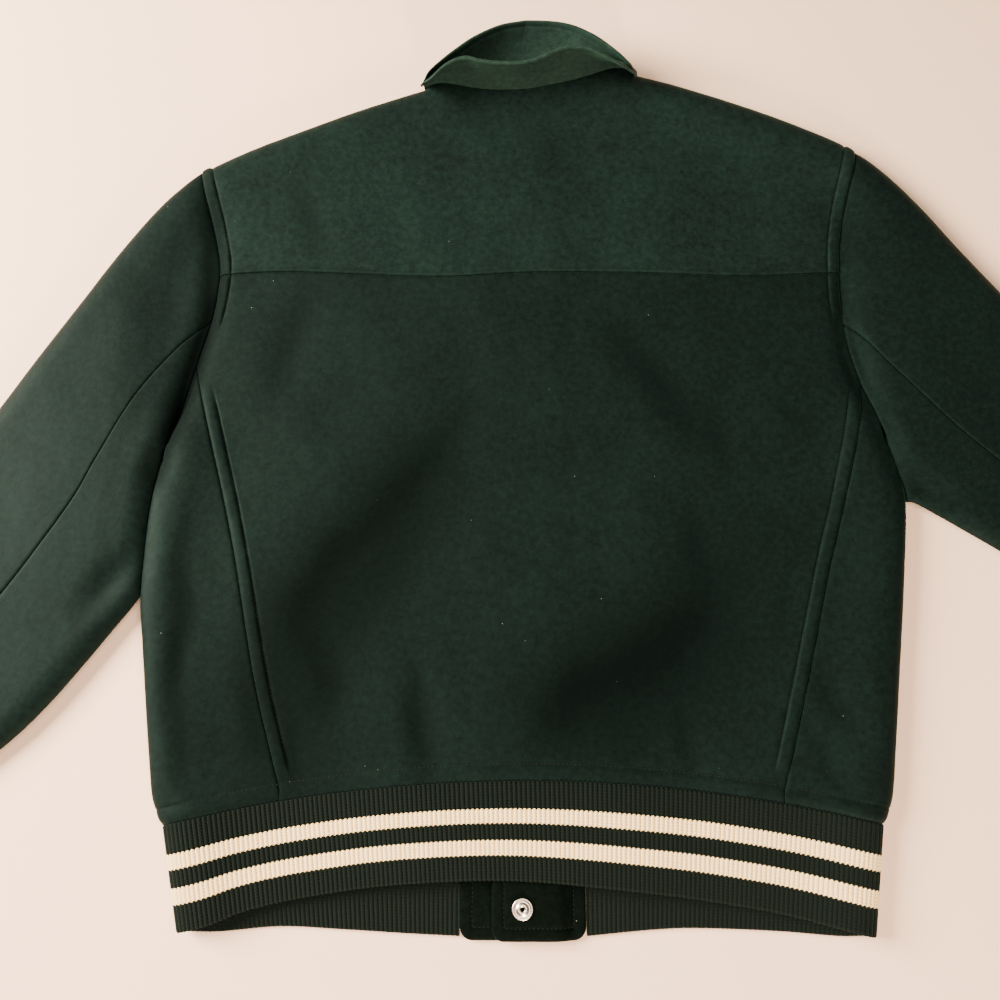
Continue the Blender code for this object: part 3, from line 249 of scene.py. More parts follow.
def smoothLine(points, steps=10):
    # Catmull-Rom: each span is a cubic through its two points, aimed along its neighbours
    p = np.asarray(points, float)
    p = np.vstack([2 * p[0] - p[1], p, 2 * p[-1] - p[-2]])
    t = np.linspace(0.0, 1.0, steps, endpoint=False)[None, :, None]
    a, b, c, d = p[:-3, None], p[1:-2, None], p[2:-1, None], p[3:, None]
    spans = 0.5 * (2 * b + (c - a) * t + (2 * a - 5 * b + 4 * c - d) * t**2 + (3 * b - a - 3 * c + d) * t**3)
    return np.vstack([spans.reshape(-1, p.shape[1]), p[-2:-1]])


def alongLine(line, distances):
    gone = lengths(line)
    return np.column_stack([np.interp(distances, gone, line[:, k]) for k in range(line.shape[1])])


def spreadLine(line, fractions):
    return alongLine(line, np.asarray(fractions) * lengths(line)[-1])


def unit(vectors):
    return vectors / np.linalg.norm(vectors, axis=-1)[..., None]


def besideLine(line, distance):
    # the polyline moved to its right: each point goes along its tangent turned by -90 degrees
    run = unit(np.gradient(line, axis=0))
    return line + distance * np.column_stack([run[:, 1], -run[:, 0]])


def coonsGrid(bottom, top, left, right, u, v):
    # Coons patch: the two ruled surfaces of opposite edges, less the plane of the four corners
    u, v = np.asarray(u)[None, :, None], np.asarray(v)[:, None, None]
    across = (1 - u) * left[:, None] + u * right[:, None]
    upward = (1 - v) * bottom[None] + v * top[None]
    corners = (1 - v) * ((1 - u) * bottom[0] + u * bottom[-1]) + v * ((1 - u) * top[0] + u * top[-1])
    return across + upward - corners


def gridSteps(length, start, end, step):
    # fractions 0 to 1: given distances from each end, and even steps between them
    first, last = start[-1], length - end[-1]
    count = max(2, int(round((last - first) / step)))
    middle = np.linspace(first, last, count + 1)[1:-1]
    return np.concatenate([start, middle, length - np.asarray(end)[::-1]]) / length


# Distances from an edge at which the grids are fine: over a fold, beside a topstitched seam, beside a plain one.
foldSteps = 1 - np.cos(np.radians(np.linspace(0, 90, 10)))
nearFold = wool["foldReach"] * foldSteps
nearWelt = np.array((0, 0.3, 0.8, 1.6, 2.8, 4.2, 5.6, 7.0, 8.2, 9.0, 9.6, 10.2, 10.8, 11.5, 12.6, 14.5, 17.0))
nearHem = np.array((0, 0.3, 0.8, 1.6, 2.8, 4.6, 6.6, 8.6, 10.2, 11.2, 11.8, 12.4, 13.2, 14.4, 16.5))
nearSeam = np.array((0, 0.3, 0.8, 1.5, 2.4, 3.8, 5.8))
nearArmhole = np.array((0, 0.3, 0.8, 1.6, 2.8, 4.4, 6.5, 9.0, 12.0, 15.5, 19.5))
nearTabEdge = np.array((0, 0.3, 0.9, 1.8, 3.0, 4.6, 6.4, 7.8, 8.6, 9.2, 9.8, 10.8, 12.5))
nearRibEdge = np.array((0.0, 0.15, 0.5, 1.0, 1.7, 3.0))

edgeLines = {"left": smoothLine(bodyEdge[:, :2]), "right": smoothLine(bodyEdge[:, 2:])}


# The jacket's height over its plan


def foldSegments():
    # every line where the cloth turns under, as segments with their inward directions
    starts, ends, both = [], [], []
    sides = (("left", leftSleeve, shoulderLeft, 1), ("right", rightSleeve, shoulderRight, -1))
    for side, rows, shoulder, turn in sides:
        edge = edgeLines[side]
        parting, underarm = edgePlaces["parting"], edgePlaces["underarm"]
        for line, twoSided in (
            (smoothLine(bandSides[side])[::turn], False),
            (edge[: parting + 1][::turn], False),
            (edge[parting : underarm + 1][::turn], True),
            (smoothLine(rows[:, 2:])[::turn], False),
            (smoothLine(rows[:, :2])[::-turn], False),
            (smoothLine(shoulder)[::turn], False),
        ):
            starts.append(line[:-1])
            ends.append(line[1:])
            both += [twoSided] * (len(line) - 1)
    start = np.vstack(starts)
    run = np.vstack(ends) - start
    inward = np.column_stack([run[:, 1], -run[:, 0]]) / np.linalg.norm(run, axis=1)[:, None]
    return start, run, inward, np.array(both)


foldStart, foldRun, foldInward, foldBoth = foldSegments()


def toSegments(points, start, run):
    # gap from each segment's nearest point to each point, its length, and how far along the segment that is
    away = points[:, None] - start[None]
    part = np.clip((away * run).sum(2) / (run**2).sum(1), 0.0, 1.0)
    gap = away - part[..., None] * run
    return gap, np.linalg.norm(gap, axis=2), part


def inLots(points, size=3000):
    # lots of about this many points, so that the tables of each point against each segment stay small
    return np.array_split(points, len(points) // size + 1)


def foldDistance(points):
    return np.concatenate([toSegments(some, foldStart, foldRun)[1].min(1) for some in inLots(points)])


def foldAway(points, inner):
    # inward direction: the nearby segments' directions, each weighed by exp(-extra distance / foldBlend)
    foldBlend, leastSide = 4.0, 1e-4
    found = []
    for some, within in zip(inLots(points), inLots(inner)):
        distance = toSegments(some, foldStart, foldRun)[1]
        side = (toSegments(within, foldStart, foldRun)[0] * foldInward).sum(2)
        turn = np.where(foldBoth, np.sign(side), 1.0)
        weight = np.exp(-(distance - distance.min(1)[:, None]) / foldBlend) * ((side * turn) > leastSide)
        blend = ((weight * turn)[..., None] * foldInward[None]).sum(1)
        found.append(blend / np.maximum(np.linalg.norm(blend, axis=1), 1e-9)[:, None])
    return np.concatenate(found)


def lineDistance(points, line):
    # distance to a polyline, and how far along it the nearest point lies
    shape = points.shape[:-1]
    gone = lengths(line)
    start, run = line[:-1], np.diff(line, axis=0)
    sizes = np.diff(gone)
    near, spot = [], []
    flat = points.reshape(-1, 2)
    for some in inLots(flat, 6000):
        _, distance, part = toSegments(some, start, run)
        index = distance.argmin(1)
        every = np.arange(len(some))
        near.append(distance[every, index])
        spot.append(gone[index] + part[every, index] * sizes[index])
    return np.concatenate(near).reshape(shape), np.concatenate(spot).reshape(shape)


def eased(value):
    value = np.clip(value, 0.0, 1.0)
    return value * value * (3 - 2 * value)


def bell(value):
    return np.exp(-(value**2))


def softNoise(x, y, size, seed):
    # a sum of eight sine waves in seeded directions, about -1 to 1, each near one wavelength long
    dice = np.random.default_rng(seed)
    total = np.zeros_like(x)
    turns, phases, stretches = dice.uniform(0, math.tau, 8), dice.uniform(0, math.tau, 8), dice.uniform(0.7, 1.6, 8)
    for turn, phase, stretch in zip(turns, phases, stretches):
        total += np.sin(math.tau * (x * math.cos(turn) + y * math.sin(turn)) / (size * stretch) + phase)
    return total / 4.0


def hollowDepth(x, y, width, points):
    # the deepest of the run's sections, each a bell across and linear along
    deepest = np.zeros_like(x)
    points = smoothLine(points, 3) if len(points) > 2 else np.asarray(points, float)
    for (ax, ay, a), (bx, by, b) in zip(points[:-1], points[1:]):
        run = np.array([bx - ax, by - ay])
        t = np.clip(((x - ax) * run[0] + (y - ay) * run[1]) / (run @ run), 0.0, 1.0)
        gap = np.hypot(x - ax - t * run[0], y - ay - t * run[1])
        deepest = np.maximum(deepest, (a + (b - a) * t) * bell(gap / width))
    return deepest


def shadedHollowDepth(x, y):
    # all the hollows whose wool is painted darker as shade, added up
    return sum(hollowDepth(x, y, width, points) for width, points in shadedHollows)


def loft(x, y, distance):
    # height of the back's face: the layers under it, a swell beside each fold, less the hollows
    high, tab = loftHeights, tabShape
    overTabs = (1 - eased((np.abs(x) - tab["width"]) / tab["width"])) * (1 - eased((y - tab["top"]) / tab["top"]))
    overSnaps = 1 - eased((np.abs(x) - overlap["right"]) / overlap["right"])
    swell = bell(np.maximum(distance - wool["foldReach"], 0.0) / wool["foldSwell"])
    onCuff = eased((np.abs(x) - high["sleeveStart"]) / high["cuffTurn"])
    sleeve = high["sleeve"] - (high["sleeve"] - high["cuff"]) * onCuff
    height = high["body"] + (high["snaps"] - high["body"]) * overSnaps
    height = height + (high["tabs"] - height) * overTabs
    height = height + (high["edge"] - height) * swell
    height = height + (sleeve - height) * eased((np.abs(x) - high["bodyEnd"]) / high["sleeveTurn"])
    height = height + 0.35 * softNoise(x, y, 95.0, 3) + 0.14 * softNoise(x, y, 34.0, 4)
    for width, points in plainHollows:
        height = height - hollowDepth(x, y, width, points)
    height = height - shadedHollowDepth(x, y)
    # a soft stop above the least height: the mean of the gap and its hypotenuse with 0.8 mm
    over = height - high["least"]
    return high["least"] + 0.5 * (over + np.sqrt(over**2 + 0.64))


def liftAt(x, lift):
    # the right front's height where it lies over the left one
    return lift * eased((overlap["right"] + overlap["ease"] + overlap["slope"] - x) / overlap["slope"])


def skin(plan, face, wall=wool["wall"], gap=0.0, lift=0.0):
    # outer and inner points over a plan grid, for the back's face (1) or the front's (-1): a quarter
    # ellipse over each fold, the loft beyond it, and the wall along the fold's own radius
    flat = plan.reshape(-1, 2)
    distance = foldDistance(flat)
    turned = np.clip(1 - distance / wool["foldReach"], 0.0, 1.0)
    turned[distance < 0.8 * wool["seamGap"]] = 1.0
    upright = np.sqrt(1 - turned**2)
    inward = np.zeros_like(flat)
    near = turned > 0
    inward[near] = foldAway(flat[near], flat[near] + 0.02 * (flat.mean(0) - flat[near]))
    mid = wool["foldHeight"] + face * gap / 2
    if face > 0:
        height = mid + (loft(flat[:, 0], flat[:, 1], distance) - mid) * upright
    else:
        height = mid * (1 - upright) + liftAt(flat[:, 0], lift) * upright
    outer = np.column_stack([flat, height])
    inner = outer + wall * np.column_stack([turned[:, None] * inward, -face * upright])
    return outer.reshape(*plan.shape[:2], 3), inner.reshape(*plan.shape[:2], 3)


def embossed(skins, relief):
    # the outer face moved along the wall's own direction
    outer, inner = skins
    return outer + unit(outer - inner) * relief[..., None], inner


# Meshes


def addPiece(name, points, faces, finish, uv=None, sharp=50, paintedShade=None):
    # the faces are turned over together where their signed volume is below zero, so they look outwards
    placed = toFrame(points)
    corner = placed[faces]
    volume = (corner[:, 0] * (np.cross(corner[:, 1], corner[:, 2]) + np.cross(corner[:, 2], corner[:, 3]))).sum()
    faces = faces if volume > 0 else faces[:, ::-1]
    mesh = bpy.data.meshes.new(name)
    mesh.vertices.add(len(placed))
    mesh.vertices.foreach_set("co", placed.astype(np.float32).ravel())
    mesh.loops.add(faces.size)
    mesh.loops.foreach_set("vertex_index", faces.astype(np.int32).ravel())
    mesh.polygons.add(len(faces))
    mesh.polygons.foreach_set("loop_start", np.arange(0, faces.size, 4, dtype=np.int32))
    if uv is not None:
        mesh.uv_layers.new(name="ribMap").uv.foreach_set("vector", uv[faces].astype(np.float32).ravel())
    # the share of painted shade in the hollows, kept on each point for the wool's colour
    if paintedShade is not None:
        mesh.attributes.new("paintedShadeShare", "FLOAT", "POINT").data.foreach_set("value", paintedShade.astype(np.float32))
    mesh.update(calc_edges=True)
    mesh.validate()
    mesh.shade_smooth()
    mesh.set_sharp_from_angle(angle=math.radians(sharp))
    mesh.materials.append(finish)
    piece = bpy.data.objects.new(name, mesh)
    bpy.context.scene.collection.objects.link(piece)
    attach(piece, "root")
    return piece


def gridFaces(rows, columns, wrap=False, wrapRows=False):
    # one quad for each cell, wound bottom left, bottom right, top right, top left
    corner = np.arange(rows * columns).reshape(rows, columns)
    if wrapRows:
        corner = np.vstack([corner, corner[:1]])
    if wrap:
        corner = np.column_stack([corner, corner[:, 0]])
    return np.stack([corner[:-1, :-1], corner[:-1, 1:], corner[1:, 1:], corner[1:, :-1]], -1).reshape(-1, 4)


def rimLoops(rows, columns, wrap=False):
    # the grid's border as edges that run as its own quads do
    corner = np.arange(rows * columns).reshape(rows, columns)
    if wrap:
        low, high = np.append(corner[0], corner[0, 0]), np.append(corner[-1], corner[-1, 0])[::-1]
        runs = (low, high)
    else:
        runs = (np.concatenate([corner[0], corner[1:, -1], corner[-1, -2::-1], corner[-2::-1, 0]]),)
    return np.vstack([np.column_stack([run[:-1], run[1:]]) for run in runs])


def wallPiece(name, skins, finish, uv=None, wrap=False, sharp=50, plan=None):
    # a closed wall: the outer grid, the inner grid turned over, and quads round their borders
    outer, inner = skins
    rows, columns = outer.shape[:2]
    count = rows * columns
    quads = gridFaces(rows, columns, wrap)
    rims = rimLoops(rows, columns, wrap)
    border = np.column_stack([rims[:, 1], rims[:, 0], rims[:, 0] + count, rims[:, 1] + count])
    faces = np.vstack([quads, quads[:, ::-1] + count, border])
    points = np.vstack([outer.reshape(-1, 3), inner.reshape(-1, 3)])
    maps = None if uv is None else np.vstack([uv[0].reshape(-1, 2), uv[1].reshape(-1, 2)])
    paintedShade = None
    if plan is not None:
        # the painted shade's share nears 1 as the hollow's depth passes a few times 3 mm, on the outer face alone
        depth = shadedHollowDepth(plan[..., 0], plan[..., 1]).ravel()
        paintedShade = np.concatenate([1 - np.exp(-depth / 3.0), np.zeros(count)])
    return addPiece(name, points, faces, finish, maps, sharp, paintedShade)


# Materials


def linear(code):
    # sRGB hex to linear light
    values = np.array([int(code[k : k + 2], 16) for k in (1, 3, 5)]) / 255
    low = values <= 0.04045
    return (*np.where(low, values / 12.92, ((values + 0.055) / 1.055) ** 2.4), 1.0)


def addNode(tree, kind, inputs=(), **settings):
    # one node: its settings, then each input as a value or as a link from another node's output
    made = tree.nodes.new(kind)
    for name, value in settings.items():
        setattr(made, name, value)
    for key, value in dict(inputs).items():
        if isinstance(value, bpy.types.NodeSocket):
            tree.links.new(value, made.inputs[key])
        else:
            made.inputs[key].default_value = value
    return made


def newMaterial(name, **shaderValues):
    made = bpy.data.materials.new(name)
    made.use_nodes = True
    shader = made.node_tree.nodes["Principled BSDF"]
    for key, value in shaderValues.items():
        shader.inputs[key.replace("_", " ")].default_value = value
    return made, made.node_tree, shader


def objectPlace(tree):
    return addNode(tree, "ShaderNodeTexCoord").outputs["Object"]


def maths(tree, operation, *values):
    return addNode(tree, "ShaderNodeMath", dict(enumerate(values)), operation=operation).outputs["Value"]


def noiseOver(tree, place, scale, detail=2.0, roughness=0.5):
    inputs = {"Vector": place, "Scale": scale, "Detail": detail, "Roughness": roughness}
    return addNode(tree, "ShaderNodeTexNoise", inputs).outputs["Fac"]


def mixed(tree, share, one, other, kind="RGBA"):
    inputs = {"Factor": share, "A": one, "B": other}
    return addNode(tree, "ShaderNodeMix", inputs, data_type=kind).outputs["Result"]


def ranged(tree, value, low, high):
    # a value of 0 to 1 spread over low to high
    inputs = {"Value": value, "To Min": low, "To Max": high}
    return addNode(tree, "ShaderNodeMapRange", inputs).outputs["Result"]


def addBump(tree, shader, height, strength, distance):
    bump = addNode(tree, "ShaderNodeBump", {"Height": height, "Strength": strength, "Distance": distance})
    tree.links.new(bump.outputs["Normal"], shader.inputs["Normal"])


meltonLook = {
    "shade": "#060a09",
    "face": "#09110f",
    "nap": "#0d1815",
    "fuzzSize": 0.9,
    "clumpSize": 4.5,
    "cloudSize": 60.0,
    "roughness": 0.62,
    "gloss": 0.1,
    "glossTint": "#76ab93",
    # colour and strength of the shade painted into the hollows
    "paintedShade": "#020303",
    "paintedShadeStrength": 0.95,
    "sheen": 0.08,
    "sheenRoughness": 0.35,
    "sheenTint": "#6fb794",
    "lint": "#6b6e64",
    "lintSpacing": 19.0,
    "lintSize": 0.017,
}


def meltonWool(name, look):
    # Melton: woven wool, fulled and brushed until the weave is hidden. It gives a dull, deep face with
    # a short felted nap, cloudy where the nap lies differently, and painted darker in the hollows as shade.
    # The nap's real fibres (0.02 mm) are too fine to show, so the fuzz is drawn 0.9 mm coarse.
    made, tree, shader = newMaterial(
        name,
        Specular_IOR_Level=look["gloss"],
        Specular_Tint=linear(look["glossTint"]),
        Sheen_Weight=look["sheen"],
        Sheen_Roughness=look["sheenRoughness"],
        Sheen_Tint=linear(look["sheenTint"]),
    )
    place = objectPlace(tree)

    def noise(size, detail, roughness):
        return noiseOver(tree, place, 1000 / look[size], detail, roughness)

    def specks(where, perMetre, size):
        # small discs, one about the middle of each cell
        cells = addNode(tree, "ShaderNodeTexVoronoi", {"Vector": where, "Scale": perMetre / look["lintSpacing"]})
        return maths(tree, "LESS_THAN", cells.outputs["Distance"], size)

    napped = mixed(tree, 0.4, noise("clumpSize", 4.0, 0.6), noise("fuzzSize", 3.0, 0.65), "FLOAT")
    clouded = mixed(tree, 0.2, napped, noise("cloudSize", 3.0, 0.5), "FLOAT")
    tone = addNode(tree, "ShaderNodeValToRGB", {"Fac": clouded})
    ramp = tone.color_ramp
    for stop, position, shade in zip(ramp.elements, (0.36, 0.66), ("shade", "nap")):
        stop.position = position
        stop.color = linear(look[shade])
    ramp.elements.new(0.5).color = linear(look["face"])
    # lint: specks of light dust, and a few short fibres, which are such specks seen through a stretched grid
    stretch = {"Vector": place, "Rotation": (0.0, 0.0, 0.9), "Scale": (1.0, 0.14, 1.0)}
    stretched = addNode(tree, "ShaderNodeMapping", stretch).outputs["Vector"]
    dust, fibres = specks(place, 1000, look["lintSize"]), specks(stretched, 430, look["lintSize"] * 0.35)
    linted = mixed(tree, maths(tree, "MAXIMUM", dust, fibres), tone.outputs["Color"], linear(look["lint"]))
    # painted shade: in the hollows the colour is darkened, and the roughness raised so that its gloss does not show
    paintedShade = addNode(tree, "ShaderNodeAttribute", attribute_name="paintedShadeShare").outputs["Fac"]
    colour = mixed(tree, ranged(tree, paintedShade, 0.0, look["paintedShadeStrength"]), linted, linear(look["paintedShade"]))
    tree.links.new(colour, shader.inputs["Base Color"])
    tree.links.new(ranged(tree, paintedShade, look["roughness"], 1.0), shader.inputs["Roughness"])
    addBump(tree, shader, napped, 0.35, 0.0006)
    return made


ribLook = {
    "green": "#0a120c",
    "greenShade": "#050a07",
    "cream": "#f2d79c",
    "creamShade": "#dcbd82",
    "loopHeight": 2.2,
    "roughness": 0.88,
    "gloss": 0.08,
    "sheen": 0.1,
    "sheenRoughness": 0.4,
    "sheenTint": "#8fb59c",
    "depth": 72.0,
    "lean": 0.03,
    "bow": 0.07,
    "stripes": ((0.2614, 0.4118), (0.5817, 0.7255)),
}


def ribKnit(name):
    # Rib knit: plain worsted wool yarn, machine knitted in 1 x 1 rib. Each rib is a column of small
    # V-shaped loops, matt with a soft bloom; a stripe starts level at each loop, so its edges are scalloped.
    look = ribLook
    made, tree, shader = newMaterial(
        name,
        Roughness=look["roughness"],
        Specular_IOR_Level=look["gloss"],
        Sheen_Weight=look["sheen"],
        Sheen_Roughness=look["sheenRoughness"],
        Sheen_Tint=linear(look["sheenTint"]),
    )
    place = addNode(tree, "ShaderNodeUVMap", uv_map="ribMap").outputs["UV"]
    parts = addNode(tree, "ShaderNodeSeparateXYZ", {"Vector": place})
    height = parts.outputs["Y"]
    slope = maths(tree, "ABSOLUTE", maths(tree, "SUBTRACT", maths(tree, "FRACT", parts.outputs["X"]), 0.5))
    # V-shaped loops: a sine of height plus the slope to either side of the rib's middle
    leaned = maths(tree, "MULTIPLY_ADD", slope, look["lean"], height)
    loops = maths(tree, "SINE", maths(tree, "MULTIPLY", leaned, math.tau * look["depth"] / look["loopHeight"]))
    fuzz = noiseOver(tree, objectPlace(tree), 1100.0, 3.0)
    addBump(tree, shader, maths(tree, "MULTIPLY_ADD", loops, 0.35, fuzz), 0.5, 0.0005)
    green, cream = (
        mixed(tree, fuzz, linear(look[yarn + "Shade"]), linear(look[yarn])) for yarn in ("green", "cream")
    )
    # each stripe's edges bow with the rib: its middle loop stands higher than its sides
    bowed = maths(tree, "MULTIPLY_ADD", maths(tree, "MULTIPLY", slope, slope), look["bow"], height)
    inStripe = maths(tree, "ADD", *(
        maths(tree, "MULTIPLY", maths(tree, "GREATER_THAN", bowed, low), maths(tree, "LESS_THAN", bowed, high))
        for low, high in look["stripes"]
    ))
    tree.links.new(mixed(tree, inStripe, green, cream), shader.inputs["Base Color"])
    return made


def nickelPlate():
    # Nickel-plated brass, stamped and barrel polished: bright and slightly warm, with fine rubbed marks.
    look = {"Base_Color": linear("#d8cbb8"), "Metallic": 1.0, "Roughness": 0.28}
    made, tree, shader = newMaterial("nickelPlatedBrass", **look)
    rubbed = noiseOver(tree, objectPlace(tree), 900.0)
    tree.links.new(ranged(tree, rubbed, 0.2, 0.38), shader.inputs["Roughness"])
    return made


def sewingThread():
    # Corespun polyester thread with a cotton cover: matt and dark, so that it hardly shows on the wool.
    look = {"Base_Color": linear("#060a08"), "Roughness": 0.75, "Specular_IOR_Level": 0.15}
    made, tree, shader = newMaterial("sewingThread", **look)
    addBump(tree, shader, noiseOver(tree, objectPlace(tree), 2500.0), 0.4, 0.0002)
    return made


meltons = {part: meltonWool(f"meltonWool_{part}", meltonLook) for part in ("back", "front", "sleeve")}
# lighter and darker copies of the wool, which paint in light and shade
paintedLightMeltons = {
    # the yoke's wool is a lighter copy: partly its nap, which runs across the shoulders, and partly painted light
    # for the brighter top of the back
    "yoke": {"shade": "#080d0c", "face": "#0d1714", "nap": "#121f1b"},
    # the collar's wool is a lighter copy, painted light: its steep faces catch too little light from the lamps, so
    # the colour is raised instead
    "collar": {"shade": "#17231d", "face": "#1d2c25", "nap": "#25372e", "gloss": 0.03, "lintSize": 0.012},
    # the band's ends get a darker copy of the wool, painted shade for the shadow they lie in
    "tab": {"shade": "#030503", "face": "#050806", "nap": "#080e0a", "gloss": 0.03},
}
for part, changes in paintedLightMeltons.items():
    meltons[part] = meltonWool(f"meltonWool_{part}", {**meltonLook, **changes})
ribFinish = ribKnit("ribKnitWool_band")
cuffFinish = ribKnit("ribKnitWool_cuff")
nickel = nickelPlate()
thread = sewingThread()

# Seams and stitching on the wool

seamLook = {
    "weltWidth": 10.2,
    "weltRise": 1.25,
    "grooveDepth": 0.85,
    "grooveWidth": 0.9,
    "hemStitch": 12.0,
    "neckStitch": 9.6,
    "stitch": 3.2,
    "stitchLength": 2.4,
    "threadRadius": 0.26,
    "threadRise": 0.12,
    "threadDive": 0.3,
    "dipDepth": 1.3,
    "dipWidth": 0.9,
}


def seamDip(distance, depth=seamLook["dipDepth"], width=seamLook["dipWidth"]):
    # the cloth rolls down into a seam, e-folding in one width
    return -depth * np.exp(-distance / width)


def weltRelief(distance, spot, fade, seed):
    # a rounded welt (half an ellipse) from the seam to its topstitch groove, puckered by each few stitches
    wide, rise = seamLook["weltWidth"], seamLook["weltRise"]
    across = np.clip(distance / wide, 0.0, 1.0)
    crown = rise * np.sqrt(np.clip(1 - (2 * across - 1) ** 2, 0, 1))
    crown *= 1 + 0.25 * softNoise(spot, spot * 0, 23.0, seed)
    groove = -seamLook["grooveDepth"] * bell((distance - wide) / seamLook["grooveWidth"])
    pucker = 0.14 * softNoise(spot, distance, 9.0, seed + 1) * bell((distance - wide) / 6.0)
    return (crown + groove + pucker) * fade


def stitchGroove(distance, spot, at, seed, depth=0.5):
    # a line of topstitching sunk in the cloth, with small puckers to either side
    groove = -depth * bell((distance - at) / seamLook["grooveWidth"])
    return groove + 0.13 * softNoise(spot, distance, 9.5, seed) * bell((distance - at) / 7.0)


def bandSeam(x):
    left, right = edgeLines["left"][0], edgeLines["right"][0]
    u = (x - left[0]) / (right[0] - left[0])
    return left[1] + (right[1] - left[1]) * u + bandArch * 4 * u * (1 - u)


def yokeSeam(u):
    # the level yoke seam: straight from armhole to armhole, with its own gentle waves
    left, right = (edgeLines[side][edgePlaces["yokeSeam"]] for side in ("left", "right"))
    rise = smoothLine(yokeRise)
    level = left[1] + (right[1] - left[1]) * u
    return np.column_stack([left[0] + (right[0] - left[0]) * u, level + np.interp(u, rise[:, 0], rise[:, 1])])


seamLines = {
    "armholeLeft": edgeLines["left"][edgePlaces["underarm"] :],
    "armholeRight": edgeLines["right"][edgePlaces["underarm"] :],
    "panelLeft": smoothLine(panelSeamLeft),
    "panelRight": smoothLine(panelSeamRight),
    "neck": smoothLine(backNeck),
    "yoke": yokeSeam(np.linspace(0, 1, 90)),
}
hemX = np.linspace(-262.0, 263.5, 80)
seamLines["hem"] = np.column_stack([hemX, bandSeam(hemX)])
# Where each armhole's welt fades out, as heights from none to full.
weltFades = {"Left": (458.0, 482.0), "Right": (470.0, 490.0)}


def backRelief(plan, piece):
    # what sewing does to the back's face, from the distance to each seam
    x, y = plan[..., 0], plan[..., 1]
    relief = 0.05 * softNoise(x, y, 13.0, 11)
    for side in ("Left", "Right"):
        low, high = weltFades[side]
        distance, spot = lineDistance(plan, seamLines["armhole" + side])
        fade = eased((y - low) / (high - low))
        relief = relief + weltRelief(distance, spot, fade, 21) + seamDip(distance, 1.6, 0.9)
        distance, spot = lineDistance(plan, seamLines["panel" + side])
        if piece == "panel":
            # this welt ends above the hem and below the armhole
            fade = eased((y - 112.0) / 12.0) * (1 - eased((y - 395.0) / 25.0))
            relief = relief + weltRelief(distance, spot, fade, 31)
        if piece in ("panel", "side"):
            relief = relief + seamDip(distance)
    distance, _ = lineDistance(plan, seamLines["yoke"])
    if piece == "yoke":
        relief = relief + 0.55 * bell((distance - 1.4) / 1.5) + seamDip(distance, 0.9, 0.4)
        distance, spot = lineDistance(plan, seamLines["neck"])
        relief = relief + stitchGroove(distance, spot, seamLook["neckStitch"], 41, 0.45)
    else:
        relief = relief + seamDip(distance, 1.5, 1.4)
        distance, spot = lineDistance(plan, seamLines["hem"])
        relief = relief + stitchGroove(distance, spot, seamLook["hemStitch"], 51)
        relief = relief + seamDip(distance, 1.4, 1.2) + 0.5 * bell((distance - 5.5) / 4.0)
    return relief


def sewnBack(plan, piece):
    # the back's skins over a plan grid, raised and sunk as its sewing does
    return embossed(skin(plan, 1, gap=wool["seamGap"]), backRelief(plan, piece))


def backCloth(name, plan, piece, finish):
    return wallPiece(name + "_cloth", sewnBack(plan, piece), finish, plan=plan)


